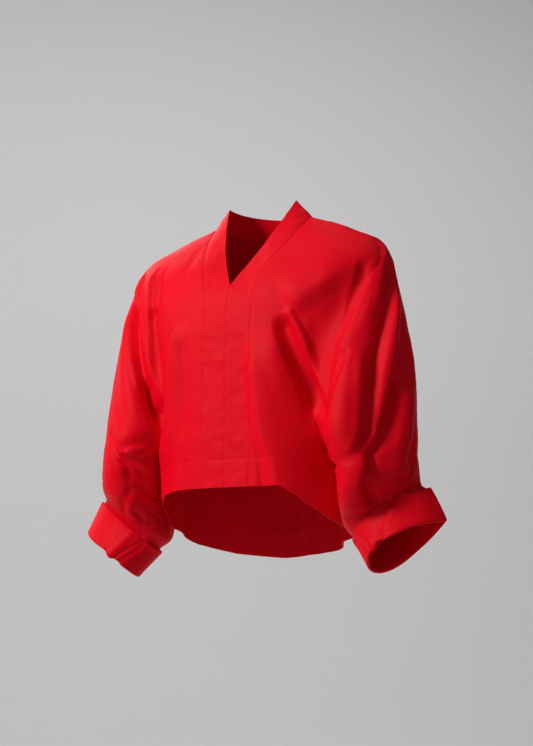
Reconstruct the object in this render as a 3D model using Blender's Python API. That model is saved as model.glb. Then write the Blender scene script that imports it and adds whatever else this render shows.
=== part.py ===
"""A draped top: a V-neck blouse in crisp red cotton with cut-on sleeves and turned-back cuffs.

Metres, +Z up. The front faces -Y and the wearer's left side is at +X. The origin is where the wearer
holds the blouse up: on the neck axis, at the height of the two points where shoulder and neck meet.

The cloth is a thin wall. One skin of shared points is worked out for the whole blouse first, so that
neighbouring pieces meet along the same line, and each cut piece then becomes a closed wall of its own
from its part of that skin.
"""

import math
from collections import namedtuple

import bmesh
import bpy
import numpy as np

# Cloth and seams.
WALL = 0.0015
SEAM_GAP = 0.0003
SAME_POINT = 1e-6

# Neck: the band that edges the centre front, the V and the back neck.
STAND_TOP = (0.070, 0.0, 0.034)
V_POINT = (0.0, -0.111, -0.133)
V_BOW = (0.007, -0.003, 0.0)
V_END_SECTION = 7.0
BACK_STAND_TOP = (0.0, 0.071, 0.021)
BAND_CELLS = 3

# Body and sleeve.
SQUARENESS = 2.3
OVERARM_CREASE = 0.55
TORSO_CELLS = 10
ARM_CELLS = 10
HEM_CELLS = 4
SLEEVE_CELLS = 4
SLEEVE_BAND_CELLS = 3

# Level sections of the blouse from the shoulder down. Lengths are metres: height is z, torso and arm are
# the half width of the body and the reach of the overarm seam, front, back and middle are y at the centre
# front, the centre back and the side seam, overlap is how far body and sleeve run into each other,
# bulge and bulge_back are the sleeve's depth to the front and to the back, blend is the softness of the
# trough between them, seam and neck are the x of the band seam in front and behind, and steps is the
# number of rows of faces down to the next section.
SECTION_COLUMNS = "height torso front back middle arm overlap bulge bulge_back blend seam neck steps"
Section = namedtuple("Section", SECTION_COLUMNS)
SECTIONS = (
    Section(0.000, 0.100, 0.000, 0.050, 0.000, 0.100, 0.000, 0.000, 0.000, 0.030, 0.100, 0.100, 2),
    Section(-0.005, 0.116, -0.008, 0.068, -0.001, 0.116, 0.016, 0.002, 0.002, 0.030, 0.099, 0.082, 1),
    Section(-0.010, 0.131, -0.015, 0.083, -0.001, 0.131, 0.032, 0.004, 0.004, 0.030, 0.098, 0.052, 2),
    Section(-0.015, 0.146, -0.021, 0.092, -0.002, 0.146, 0.046, 0.006, 0.006, 0.030, 0.097, 0.000, 2),
    Section(-0.036, 0.192, -0.045, 0.099, -0.004, 0.192, 0.090, 0.015, 0.015, 0.030, 0.091, 0.000, 2),
    Section(-0.058, 0.236, -0.064, 0.103, -0.007, 0.236, 0.116, 0.024, 0.024, 0.030, 0.083, 0.000, 2),
    Section(-0.100, 0.256, -0.098, 0.107, -0.012, 0.267, 0.128, 0.045, 0.045, 0.030, 0.065, 0.000, 2),
    Section(-0.160, 0.232, -0.120, 0.107, -0.016, 0.281, 0.094, 0.065, 0.060, 0.028, 0.049, 0.000, 2),
    Section(-0.230, 0.208, -0.126, 0.104, -0.019, 0.297, 0.072, 0.079, 0.068, 0.024, 0.048, 0.000, 3),
    Section(-0.300, 0.192, -0.127, 0.100, -0.021, 0.307, 0.058, 0.090, 0.073, 0.018, 0.048, 0.000, 2),
    Section(-0.360, 0.182, -0.128, 0.097, -0.023, 0.311, 0.042, 0.100, 0.076, 0.012, 0.048, 0.000, 2),
    Section(-0.410, 0.176, -0.129, 0.095, -0.024, 0.312, 0.018, 0.105, 0.078, 0.004, 0.048, 0.000, 3),
    Section(-0.440, 0.173, -0.129, 0.093, -0.024, 0.311, 0.000, 0.103, 0.078, 0.000, 0.048, 0.000, 1),
    Section(-0.486, 0.172, -0.130, 0.090, -0.024, 0.311, 0.000, 0.100, 0.078, 0.000, 0.048, 0.000, 1),
    Section(-0.550, 0.175, -0.131, 0.087, -0.024, 0.311, 0.000, 0.100, 0.078, 0.000, 0.048, 0.000, 1),
    Section(-0.620, 0.178, -0.131, 0.084, -0.024, 0.311, 0.000, 0.100, 0.078, 0.000, 0.048, 0.000, 1),
)
UNDERARM = 12

# The hem drops from the front round to the back, and later on the wearer's right (-1) than on the left (1):
# angle round the body from the centre front, and height.
HEM = {
    1: ((0.0, -0.486), (33.0, -0.487), (54.0, -0.519), (72.0, -0.540), (90.0, -0.553), (120.0, -0.574),
        (150.0, -0.591), (180.0, -0.600)),
    -1: ((0.0, -0.486), (33.0, -0.487), (60.0, -0.493), (76.0, -0.516), (90.0, -0.545), (120.0, -0.574),
         (150.0, -0.591), (180.0, -0.600)),
}

# Sections of the sleeve from the underarm to the cuff: centre x, y, z, half width, depth to the front and
# to the back, turn about z in degrees, slope of the section's plane along x and y, and crease, which is 0
# for a round outer end and 1 for a pointed one.
SleeveSection = namedtuple("SleeveSection", "x y z half bulge bulge_back turn slope_x slope_y crease")
SLEEVE_SECTIONS = (
    SleeveSection(0.242, -0.024, -0.440, 0.069, 0.103, 0.078, 0.0, 0.00, 0.00, 0.55),
    SleeveSection(0.248, -0.022, -0.470, 0.066, 0.098, 0.070, 2.0, 0.16, -0.07, 0.58),
    SleeveSection(0.249, -0.023, -0.500, 0.067, 0.089, 0.060, 4.0, 0.34, -0.16, 0.62),
    SleeveSection(0.252, -0.026, -0.522, 0.068, 0.068, 0.050, 6.0, 0.54, -0.26, 0.70),
    SleeveSection(0.268, -0.028, -0.538, 0.062, 0.037, 0.037, 8.0, 0.72, -0.33, 0.85),
    SleeveSection(0.304, -0.047, -0.583, 0.062, 0.031, 0.042, 25.0, 0.74, -0.33, 0.95),
)
CUFF_SEAM = 4.15
CUFF_TUCK = 3.85

# The seam between the sleeve and its lower band slants, differently on the two sides: girth, and place in
# the table of sleeve sections. The band dips into the cuff at CUFF_TUCK and ends at CUFF_SEAM.
SLEEVE_SEAM = {
    1: ((1.0, 1.6), (1.2, 2.2), (1.4, 3.2), (1.6, 3.6), (2.2, 3.6), (2.6, 2.8), (3.0, 1.6)),
    -1: ((1.0, 2.1), (1.12, 1.95), (1.28, 1.5), (1.44, 1.05), (1.7, 0.8), (2.2, 0.9), (3.0, 2.1)),
}

# The cuff's fold, from the seam inside it down to the rim and back up to its free top edge. Place is in
# the table of sleeve sections, and off is the distance out from the inner layer.
CuffRow = namedtuple("CuffRow", "place off")
CUFF_ROWS = (
    CuffRow(4.15, 0.0), CuffRow(4.55, 0.0), CuffRow(4.92, 0.0), CuffRow(4.98, 0.0006),
    CuffRow(4.98, 0.0026), CuffRow(4.92, 0.0034), CuffRow(4.55, 0.0036), CuffRow(4.0, 0.0045),
)
RED = (0.76, 0.003, 0.012)

# The largest folds. Each runs from start through bend to end, given as girth and height. Girth is 0 at the
# front band seam, 1 in the trough beside the sleeve, 2 at the overarm seam, 3 in the back trough and 4 at
# the centre back. Side is 1 for the wearer's left and -1 for the right. Depth is positive for a ridge.
# Fade is the share of the length over which the fold rises from nothing at its start, and at its end.
Fold = namedtuple("Fold", "side start bend end width depth fade fade_end")
FOLDS = (
    Fold(1, (0.00, -0.215), (0.12, -0.343), (0.26, -0.487), 0.022, 0.007, 0.4, 0.0),
    Fold(1, (0.06, -0.230), (0.30, -0.352), (0.42, -0.481), 0.024, -0.008, 0.4, 0.1),
    Fold(1, (0.30, -0.183), (0.56, -0.262), (1.14, -0.402), 0.022, 0.004, 0.2, 0.2),
    Fold(1, (0.40, -0.205), (0.70, -0.293), (1.18, -0.388), 0.022, -0.011, 0.2, 0.2),
    Fold(1, (0.42, -0.184), (0.78, -0.250), (1.20, -0.366), 0.022, 0.006, 0.2, 0.3),
    Fold(1, (0.36, -0.182), (0.80, -0.144), (1.40, -0.078), 0.032, 0.006, 0.4, 0.4),
    Fold(1, (0.24, -0.240), (0.52, -0.340), (0.68, -0.470), 0.032, 0.006, 0.4, 0.4),
    Fold(1, (1.44, -0.085), (1.26, -0.163), (1.14, -0.300), 0.022, -0.010, 0.3, 0.3),
    Fold(1, (1.60, -0.090), (1.44, -0.210), (1.44, -0.330), 0.024, 0.005, 0.4, 0.3),
    Fold(1, (1.84, -0.100), (1.62, -0.251), (1.52, -0.448), 0.022, -0.013, 0.2, 0.2),
    Fold(1, (1.94, -0.131), (1.80, -0.212), (1.72, -0.320), 0.022, 0.006, 0.3, 0.3),
    Fold(1, (1.38, -0.252), (1.38, -0.346), (1.34, -0.428), 0.027, 0.011, 0.2, 0.3),
    Fold(1, (1.30, -0.262), (1.22, -0.334), (1.14, -0.400), 0.022, -0.007, 0.3, 0.3),
    Fold(1, (1.72, -0.310), (1.64, -0.404), (1.46, -0.523), 0.022, -0.011, 0.2, 0.1),
    Fold(1, (1.86, -0.343), (1.82, -0.418), (1.66, -0.487), 0.022, 0.006, 0.3, 0.2),
    Fold(1, (1.06, -0.464), (1.22, -0.476), (1.36, -0.470), 0.022, -0.005, 0.2, 0.4),
    Fold(1, (1.16, -0.484), (1.26, -0.510), (1.36, -0.535), 0.022, 0.006, 0.3, 0.1),
    Fold(-1, (0.32, -0.198), (0.60, -0.300), (0.90, -0.484), 0.022, 0.009, 0.2, 0.0),
    Fold(-1, (0.22, -0.205), (0.20, -0.334), (0.14, -0.487), 0.022, -0.004, 0.3, 0.0),
    Fold(-1, (1.02, -0.100), (1.10, -0.250), (0.92, -0.385), 0.026, -0.014, 0.3, 0.3),
    Fold(-1, (1.24, -0.110), (1.26, -0.250), (1.14, -0.385), 0.022, 0.008, 0.3, 0.3),
    Fold(-1, (1.50, -0.360), (1.34, -0.422), (1.28, -0.472), 0.022, -0.006, 0.3, 0.2),
    Fold(-1, (1.34, -0.416), (1.22, -0.403), (1.08, -0.396), 0.022, -0.006, 0.3, 0.3),
    Fold(-1, (1.26, -0.442), (1.14, -0.432), (1.00, -0.421), 0.022, 0.005, 0.3, 0.3),
    Fold(-1, (1.74, -0.200), (1.66, -0.310), (1.64, -0.440), 0.024, -0.008, 0.4, 0.3),
    Fold(1, (3.70, -0.130), (3.62, -0.350), (3.60, -0.610), 0.030, 0.008, 0.5, 0.0),
    Fold(1, (3.46, -0.170), (3.34, -0.360), (3.40, -0.600), 0.028, -0.010, 0.4, 0.0),
    Fold(1, (2.90, -0.110), (2.92, -0.260), (3.02, -0.400), 0.030, -0.010, 0.4, 0.3),
    Fold(1, (2.52, -0.110), (2.56, -0.280), (2.50, -0.440), 0.024, -0.010, 0.4, 0.2),
    Fold(1, (2.34, -0.220), (2.38, -0.340), (2.34, -0.470), 0.022, 0.006, 0.4, 0.2),
    Fold(-1, (3.64, -0.150), (3.70, -0.340), (3.62, -0.610), 0.028, -0.008, 0.5, 0.0),
    Fold(-1, (3.40, -0.150), (3.36, -0.350), (3.26, -0.590), 0.030, 0.009, 0.4, 0.0),
    Fold(-1, (2.94, -0.130), (2.96, -0.260), (3.04, -0.400), 0.028, -0.011, 0.4, 0.3),
    Fold(-1, (2.60, -0.150), (2.52, -0.290), (2.56, -0.440), 0.022, -0.009, 0.4, 0.2),
    Fold(-1, (2.30, -0.180), (2.36, -0.330), (2.30, -0.460), 0.022, 0.007, 0.4, 0.2),
)
FOLD_STEPS = 12

# The folds die out within this distance of the point where the underarm and side seams meet.
UNDERARM_CALM = 0.035


def table_reader(rows):
    """Return a function that reads a table between its rows, along smooth curves that don't overshoot."""
    values = np.array(rows, float)
    step = np.diff(values, axis=0)
    slope = np.empty_like(values)
    slope[0] = step[0]
    slope[-1] = step[-1]
    product = step[:-1] * step[1:]
    total = step[:-1] + step[1:]
    slope[1:-1] = np.where(product > 0, 2 * product / np.where(total == 0, 1, total), 0)
    kind = type(rows[0])

    def read(place):
        first = int(min(max(place, 0), len(values) - 2))
        t = place - first
        start = (2 * t**3 - 3 * t**2 + 1) * values[first] + (t**3 - 2 * t**2 + t) * slope[first]
        end = (3 * t**2 - 2 * t**3) * values[first + 1] + (t**3 - t**2) * slope[first + 1]
        return kind(*(start + end))

    return read


section_at = table_reader(SECTIONS)
sleeve_section_at = table_reader(SLEEVE_SECTIONS)


def section_of_height(height):
    """Return the section at a height, for the rows below the underarm and for placing folds."""
    low, high = 0.0, float(len(SECTIONS) - 1)
    for _ in range(40):
        middle = (low + high) / 2
        if section_at(middle).height > height:
            low = middle
        else:
            high = middle
    return section_at((low + high) / 2)


def crease_shape(angle, crease):
    """Return the relative depth of a sleeve at an angle, 0 at the overarm crease and 180 degrees inside."""
    return math.sin(angle) * (1 - crease + crease * math.sin(angle / 2) * math.sqrt(2))


def torso_depth(x, section, back):
    """Return how far the body reaches in front of, or behind, the line of the side seams at x."""
    reach = section.back - section.middle if back else section.middle - section.front
    share = min(abs(x) / section.torso, 1.0)
    return reach * (1 - share**SQUARENESS) ** (1 / SQUARENESS)


def arm_size(section):
    """Return the x of the sleeve's centre and its half width."""
    half = (section.arm - section.torso + section.overlap) / 2
    return section.arm - half, half


def arm_depth(x, section, back):
    """Return how far the sleeve reaches in front of, or behind, the line of the side seams at x."""
    centre, half = arm_size(section)
    if half < SAME_POINT:
        return 0.0
    cosine = min(max((x - centre) / half, -1.0), 1.0)
    reach = section.bulge_back if back else section.bulge
    return reach * crease_shape(math.acos(cosine), OVERARM_CREASE)


def level_point(x, section, back):
    """Return the point of the upper blouse at x on a level section."""
    torso = torso_depth(x, section, back)
    arm = arm_depth(x, section, back)
    depth = max(torso, arm)
    blend = min(section.blend, torso, arm)
    if blend > SAME_POINT:
        depth += max(blend - abs(torso - arm), 0.0) ** 2 / (4 * blend)
    return np.array((x, section.middle + (depth if back else -depth), section.height))


def torso_angle(x, section):
    """Return the angle round the body, from its centre line, at which the body's outline reaches x."""
    return math.asin(min(abs(x) / section.torso, 1.0) ** (SQUARENESS / 2))


def torso_x(angle, section):
    """Return the x of the body's outline at an angle from its centre line."""
    return section.torso * abs(math.sin(angle)) ** (2 / SQUARENESS)


def body_x(girth, section, inner):
    """Return x at a girth from 0, the inner edge of the panel, to 1, the trough beside the sleeve."""
    start = torso_angle(inner, section)
    end = torso_angle(section.torso - section.overlap / 2, section)
    return torso_x(start + (end - start) * girth, section)


def upper_point(girth, section):
    """Return a point above the underarm. Girth is 0 at the front band seam, 2 overarm, 4 centre back."""
    back = girth > 2
    folded = 4 - girth if back else girth
    inner = section.neck if back else section.seam
    if folded <= 1:
        return level_point(body_x(folded, section, inner), section, back)
    centre, half = arm_size(section)
    if half < SAME_POINT:
        return level_point(section.arm, section, back)
    trough = section.torso - section.overlap / 2
    start = math.acos(min(max((trough - centre) / half, -1.0), 1.0))
    return level_point(centre + half * math.cos(start * (2 - folded)), section, back)


def hem_height(girth, section, side):
    """Return the height of the hem at a girth round one side of the body."""
    back = girth > 2
    folded = 4 - girth if back else girth
    inner = section.neck if back else section.seam
    angle = math.degrees(torso_angle(body_x(folded, section, inner), section))
    if back:
        angle = 180 - angle
    degrees, heights = zip(*HEM[side])
    return float(np.interp(angle, degrees, heights))


def body_point(girth, share, side):
    """Return a point of the body below the underarm, at a share of the way down to the hem."""
    top = section_at(UNDERARM)
    height = top.height + (hem_height(girth, top, side) - top.height) * share
    section = section_of_height(height)
    back = girth > 2
    folded = 4 - girth if back else girth
    x = body_x(folded, section, section.neck if back else section.seam)
    depth = torso_depth(x, section, back)
    return np.array((x, section.middle + (depth if back else -depth), height))


def ring_point(section, girth, widen=0.0):
    """Return a point on a sleeve section. Girth is 1 or 3 at the underarm seam and 2 at the overarm seam."""
    back = girth > 2
    angle = math.pi * (girth - 2 if back else 2 - girth)
    reach = (section.bulge_back if back else section.bulge) + widen
    depth = reach * crease_shape(angle, section.crease)
    along = (section.half + widen) * math.cos(angle)
    across = depth if back else -depth
    turn = math.radians(section.turn)
    dx = along * math.cos(turn) - across * math.sin(turn)
    dy = along * math.sin(turn) + across * math.cos(turn)
    rise = section.slope_x * dx + section.slope_y * dy
    return np.array((section.x + dx, section.y + dy, section.z + rise))


def sleeve_point(girth, place):
    """Return a point of the sleeve below the underarm, at a place in the table of sleeve sections."""
    return ring_point(sleeve_section_at(place), girth)


def sleeve_seam_place(girth, side):
    """Return the place of the seam between the sleeve and its lower band."""
    girths, places = zip(*SLEEVE_SEAM[side])
    return float(np.interp(girth, girths, places))


def place_point(girth, height):
    """Return the point of the unfolded blouse at a girth and a height, for placing a fold."""
    section = section_of_height(height)
    if height >= SECTIONS[UNDERARM].height:
        return upper_point(girth, section)
    if 1 < girth < 3:
        heights = [row.z for row in SLEEVE_SECTIONS]
        place = np.interp(-height, [-value for value in heights], range(len(heights)))
        return sleeve_point(girth, float(place))
    back = girth > 2
    folded = 4 - girth if back else girth
    x = body_x(folded, section, section.neck if back else section.seam)
    depth = torso_depth(x, section, back)
    return np.array((x, section.middle + (depth if back else -depth), height))


def fold_path(fold):
    """Return points along a fold, from a smooth curve through its start, bend and end."""
    path = []
    for t in spread(0, 1, FOLD_STEPS):
        first, middle, last = (2 * t - 1) * (t - 1), 4 * t * (1 - t), t * (2 * t - 1)
        girth, height = (first * a + middle * b + last * c
                         for a, b, c in zip(fold.start, fold.bend, fold.end))
        path.append(place_point(girth, height) * (fold.side, 1, 1))
    return np.array(path)


def ramp(share):
    """Return a smooth rise from 0 to 1."""
    share = np.clip(share, 0, 1)
    return share * share * (3 - 2 * share)


def fold_offsets(points, fold):
    """Return how far one fold moves each point out."""
    path = fold_path(fold)
    nearest = np.full(len(points), np.inf)
    along = np.zeros(len(points))
    for k in range(FOLD_STEPS):
        run = path[k + 1] - path[k]
        share = np.clip((points - path[k]) @ run / (run @ run), 0, 1)
        distance = np.linalg.norm(points - path[k] - share[:, None] * run, axis=1)
        closer = distance < nearest
        nearest[closer] = distance[closer]
        along[closer] = (k + share[closer]) / FOLD_STEPS
    shape = 0.5 + 0.5 * np.cos(math.pi * np.clip(nearest / fold.width, 0, 1))
    strength = ramp(along / fold.fade)
    if fold.fade_end > 0:
        strength = strength * ramp((1 - along) / fold.fade_end)
    return fold.depth * shape * strength


def underarm_calm(points):
    """Return the share of its folds that each point keeps, which falls to 0 at the two underarm points."""
    share = np.ones(len(points))
    for side in (1, -1):
        underarm = upper_point(1, section_at(UNDERARM)) * (side, 1, 1)
        share = share * ramp(np.linalg.norm(points - underarm, axis=1) / UNDERARM_CALM)
    return share


def seam_height_shift(place):
    """Return how far the centre-front edge of the band stands above its seam edge on the same row."""
    rise = V_POINT[2] - section_at(V_END_SECTION).height
    return rise * min(max(1 - (place - V_END_SECTION) / 2, 0.0), 1.0)


def band_edge_front(place):
    """Return the free or centre-front edge of the band at a place in the table of sections."""
    if place <= V_END_SECTION:
        drop = section_at(place).height / section_at(V_END_SECTION).height
        share = abs(drop) ** 0.8
        straight = np.array(STAND_TOP) * (1 - share) + np.array(V_POINT) * share
        return straight + np.array(V_BOW) * math.sin(math.pi * share)
    height = section_at(place).height + seam_height_shift(place)
    return np.array((0.0, section_of_height(height).front, height))


def band_edge_back(place):
    """Return the top of the stand behind the shoulder."""
    angle = math.acos(min(section_at(place).neck / SECTIONS[0].neck, 1.0))
    top = np.array(STAND_TOP) + (np.array(BACK_STAND_TOP) - np.array(STAND_TOP)) * angle * 2 / math.pi
    return np.array((STAND_TOP[0] * math.cos(angle), BACK_STAND_TOP[1] * math.sin(angle), top[2]))


def band_row(edge, seam):
    """Return the points across the band from its edge to its seam."""
    return [edge + (seam - edge) * k / BAND_CELLS for k in range(BAND_CELLS + 1)]


def spread(first, last, cells):
    """Return evenly spaced values from first to last."""
    return [first + (last - first) * k / cells for k in range(cells + 1)]


def section_places():
    """Return the place of each row of faces from the shoulder to the underarm."""
    places = []
    for index in range(UNDERARM):
        steps = int(SECTIONS[index].steps)
        places += [index + k / steps for k in range(steps)]
    return places + [float(UNDERARM)]


def cuff_ring(place, off, girths):
    """Return a ring of the cuff's fold."""
    return [ring_point(sleeve_section_at(place), girth, off) for girth in girths]


class Skin:
    """The blouse as one skin of shared points, with the faces of each cut piece."""

    def __init__(self):
        self.points = []
        self.index = {}
        self.pieces = {}
        self.underarms = []

    def point(self, position, side):
        """Return the number of a point, mirrored to its side of the blouse."""
        place = (side * position[0], position[1], position[2])
        key = tuple(round(value / SAME_POINT) for value in place)
        if key not in self.index:
            self.index[key] = len(self.points)
            self.points.append(place)
        return self.index[key]

    def grid(self, piece, rows, side):
        """Add a grid of points to a piece, with its outer side to the front when rows run down."""
        numbers = [[self.point(position, side) for position in row] for row in rows]
        faces = self.pieces.setdefault(piece, [])
        for upper, lower in zip(numbers[:-1], numbers[1:]):
            for k in range(len(upper) - 1):
                ring = [upper[k], lower[k], lower[k + 1], upper[k + 1]]
                face = [n for i, n in enumerate(ring) if n != ring[i - 1]]
                if len(face) < 3:
                    continue
                faces.append(tuple(face if side > 0 else reversed(face)))

    def normals(self):
        """Return the normal of every point, from all the faces that meet there, and down at the underarms."""
        points = np.array(self.points)
        result = np.zeros_like(points)
        for faces in self.pieces.values():
            for face in faces:
                corners = points[list(face)]
                middle = corners.mean(axis=0)
                spokes = corners - middle
                area = np.cross(spokes, np.roll(spokes, -1, axis=0)).sum(axis=0)
                result[list(face)] += area
        result[self.underarms] = (0, 0, -1)
        return result / np.linalg.norm(result, axis=1)[:, None]


def directed_edges(faces):
    """Return the directed edges of a piece that have no partner in it."""
    edges = {(face[i - 1], face[i]) for face in faces for i in range(len(face))}
    return [edge for edge in edges if (edge[1], edge[0]) not in edges]


def seam_shifts(faces, edges, shared, points, normals):
    """Return how far each seam point of a piece moves into the piece, for half the gap at the seam."""
    inward = {}
    for start, end in sorted(edges):
        if frozenset((start, end)) not in shared:
            continue
        along = points[end] - points[start]
        for number in (start, end):
            left = np.cross(normals[number], along)
            inward.setdefault(number, []).append(left / np.linalg.norm(left))
    shifts = {}
    for number, lefts in inward.items():
        total = sum(lefts)
        scale = 1.0 if len(lefts) == 1 else max(1 + float(lefts[0] @ lefts[1]), 0.5)
        shifts[number] = total / scale * SEAM_GAP / 2
    return shifts


def triangles(face, points):
    """Return a face's triangles, cut along its shorter diagonal, so that both sides of a wall match."""
    if len(face) == 3:
        return [face]
    a, b, c, d = face
    if np.linalg.norm(points[a] - points[c]) <= np.linalg.norm(points[b] - points[d]):
        return [(a, b, c), (a, c, d)]
    return [(b, c, d), (b, d, a)]


def wall_mesh(name, faces, edges, shared, points, normals):
    """Return the closed wall of a piece."""
    shifts = seam_shifts(faces, edges, shared, points, normals)
    numbers = sorted({number for face in faces for number in face})
    mesh = bmesh.new()
    outer = {}
    inner = {}
    for number in numbers:
        place = points[number] + shifts.get(number, 0.0)
        outer[number] = mesh.verts.new(place)
        inner[number] = mesh.verts.new(place - normals[number] * WALL)
    for face in faces:
        for corners in triangles(face, points):
            mesh.faces.new([outer[number] for number in corners])
            mesh.faces.new([inner[number] for number in reversed(corners)])
    for start, end in sorted(edges):
        mesh.faces.new((outer[end], outer[start], inner[start], inner[end]))
    data = bpy.data.meshes.new(name)
    mesh.to_mesh(data)
    mesh.free()
    data.shade_smooth()
    data.set_sharp_from_angle(angle=math.radians(50))
    return data


def cotton(name, colour):
    """Return a matt cotton finish."""
    material = bpy.data.materials.new(name)
    material.use_nodes = True
    shader = material.node_tree.nodes["Principled BSDF"]
    shader.inputs["Base Color"].default_value = (*colour, 1.0)
    shader.inputs["Roughness"].default_value = 0.72
    shader.inputs["Metallic"].default_value = 0.0
    return material


def build_skin():
    """Return the skin of the whole blouse."""
    skin = Skin()
    places = section_places()
    front = spread(0, 1, TORSO_CELLS) + spread(1, 2, ARM_CELLS)[1:]
    back = [4 - girth for girth in reversed(front)]
    for side, word in ((1, "left"), (-1, "right")):
        build_panel(skin, f"front_{word}", places, front, side)
        build_panel(skin, f"back_{word}", places, back, side)
        build_band(skin, f"band_{word}", places, side)
        build_sleeve_end(skin, word, front[TORSO_CELLS:] + back[1:ARM_CELLS + 1], side)
        skin.underarms.append(skin.point(upper_point(1, section_at(UNDERARM)), side))
    return skin


def build_panel(skin, name, places, girths, side):
    """Add a front or a back: its upper part, and below the underarm its body and its sleeve."""
    upper = [[upper_point(girth, section_at(place)) for girth in girths] for place in places]
    skin.grid(name, upper, side)
    split = TORSO_CELLS if girths[0] == 0 else ARM_CELLS
    halves = ((girths[:split + 1], upper[-1][:split + 1]), (girths[split:], upper[-1][split:]))
    for half, first in halves:
        if half[0] >= 1 and half[-1] <= 3:
            rows = [[sleeve_point(girth, share * sleeve_seam_place(girth, side)) for girth in half]
                    for share in spread(0, 1, SLEEVE_CELLS)]
        else:
            rows = [[body_point(girth, share, side) for girth in half] for share in spread(0, 1, HEM_CELLS)]
        rows[0] = first
        skin.grid(name, rows, side)


def build_band(skin, name, places, side):
    """Add a band: from the centre back over the shoulder, down the V and down the centre front."""
    neck_end = next(index for index, section in enumerate(SECTIONS) if section.neck == 0)
    rows = []
    for place in reversed([place for place in places if 0 < place <= neck_end]):
        rows.append(band_row(band_edge_back(place), upper_point(4, section_at(place))))
    for place in places:
        rows.append(band_row(band_edge_front(place), upper_point(0, section_at(place))))
    for share in spread(0, 1, HEM_CELLS)[1:]:
        seam = body_point(0, share, side)
        edge = np.array((0.0, section_of_height(seam[2]).front, seam[2]))
        rows.append(band_row(edge, seam))
    skin.grid(name, rows, side)


def build_sleeve_end(skin, word, girths, side):
    """Add the lower sleeve and the turned-back cuff."""
    seams = [sleeve_seam_place(girth, side) for girth in girths]
    lower = [[sleeve_point(girth, seam + (CUFF_TUCK - seam) * share) for girth, seam in zip(girths, seams)]
             for share in spread(0, 1, SLEEVE_BAND_CELLS)]
    lower.append([sleeve_point(girth, CUFF_SEAM) for girth in girths])
    skin.grid(f"sleeve_band_{word}", lower, side)
    skin.grid(f"cuff_{word}", [cuff_ring(row.place, row.off, girths) for row in CUFF_ROWS], side)


def build_blouse():
    """Build every cut piece as its own object."""
    skin = build_skin()
    points = np.array(skin.points)
    moves = sum(fold_offsets(points, fold) for fold in FOLDS) * underarm_calm(points)
    skin.points = points + skin.normals() * moves[:, None]
    normals = skin.normals()
    points = np.array(skin.points)
    boundaries = {name: directed_edges(faces) for name, faces in skin.pieces.items()}
    counts = {}
    for edges in boundaries.values():
        for edge in edges:
            counts[frozenset(edge)] = counts.get(frozenset(edge), 0) + 1
    shared = {edge for edge, count in counts.items() if count > 1}
    for name, faces in skin.pieces.items():
        data = wall_mesh(name, faces, boundaries[name], shared, points, normals)
        data.materials.append(cotton(f"{name}_cotton", RED))
        piece = bpy.data.objects.new(name, data)
        bpy.context.scene.collection.objects.link(piece)


def main():
    """Clear the scene and build the blouse."""
    for thing in list(bpy.data.objects):
        bpy.data.objects.remove(thing, do_unlink=True)
    build_blouse()


if __name__ == "__main__":
    main()
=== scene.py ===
"""The looks of a draped top: a V-neck blouse in crisp red cotton with cut-on sleeves and turned-back cuffs.

Metres, +Z up, in the frame of the solids: the front faces -Y and the wearer's left side is at +X. Each cut
piece is a thin cloth wall over the form of its solid, made from the same named sections, with its own folds,
seams and creases. All the pieces are cut from one skin of shared points, so that they meet along the seams.
"""

from __future__ import annotations

import logging
import math
from dataclasses import dataclass, field, fields, replace
from enum import Enum

import bpy
import numpy as np
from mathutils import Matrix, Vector, noise
from mathutils.kdtree import KDTree

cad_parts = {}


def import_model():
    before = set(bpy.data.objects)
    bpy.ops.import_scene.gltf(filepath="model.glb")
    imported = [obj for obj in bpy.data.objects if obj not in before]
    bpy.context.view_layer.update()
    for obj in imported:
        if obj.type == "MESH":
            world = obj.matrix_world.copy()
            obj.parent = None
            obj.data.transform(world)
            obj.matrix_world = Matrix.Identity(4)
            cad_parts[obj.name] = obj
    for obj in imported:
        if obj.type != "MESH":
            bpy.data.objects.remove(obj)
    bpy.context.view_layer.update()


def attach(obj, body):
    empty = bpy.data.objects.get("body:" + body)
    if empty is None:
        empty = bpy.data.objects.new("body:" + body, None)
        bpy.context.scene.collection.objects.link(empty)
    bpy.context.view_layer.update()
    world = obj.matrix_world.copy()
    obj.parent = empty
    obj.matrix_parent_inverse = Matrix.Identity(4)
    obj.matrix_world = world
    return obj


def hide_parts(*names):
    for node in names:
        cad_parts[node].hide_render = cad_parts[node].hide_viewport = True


LOG = logging.getLogger("draped_top")
SAME_POINT = 1e-6
OVERARM = 2
CENTRE_BACK = 4
FINE_STEPS = 3000


class Side(Enum):
    """The two sides of the blouse."""

    LEFT = 1
    RIGHT = -1

    @property
    def word(self) -> str:
        """The side's name as it stands in a piece's name."""
        return self.name.lower()


@dataclass(frozen=True)
class Section:
    """A level section of the blouse above the hem, in metres."""

    height: float
    torso: float
    front: float
    back: float
    middle: float
    arm: float
    overlap: float
    bulge: float
    bulge_back: float
    blend: float
    seam: float
    neck: float


@dataclass(frozen=True)
class SleeveSection:
    """A slanting section of the sleeve below the underarm, in metres, with its turn in degrees."""

    x: float
    y: float
    z: float
    half: float
    bulge: float
    bulge_back: float
    turn: float
    slope_x: float
    slope_y: float
    crease: float


@dataclass(frozen=True)
class Fold:
    """A trough, or a ridge if its depth is positive, along a curve through start, bend and end.

    The places are girth and height. Girth is 0 at the front band seam, 1 in the trough beside the sleeve,
    2 at the overarm seam, 3 in the back trough and 4 at the centre back. Fade is the share of the length
    over which the fold comes up at its start, and at its end. Crisp is 0 for a round crest and 1 for a
    pressed one. Lean is from -1 to 1: the cloth falls away steeply on the side that it leans to, which is
    the side of the larger girth if it is above 0.
    """

    start: tuple[float, float]
    bend: tuple[float, float]
    end: tuple[float, float]
    width: float
    depth: float
    fade: float = 0.4
    fade_end: float = 0.4
    crisp: float = 0.3
    lean: float = 0.0


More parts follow.
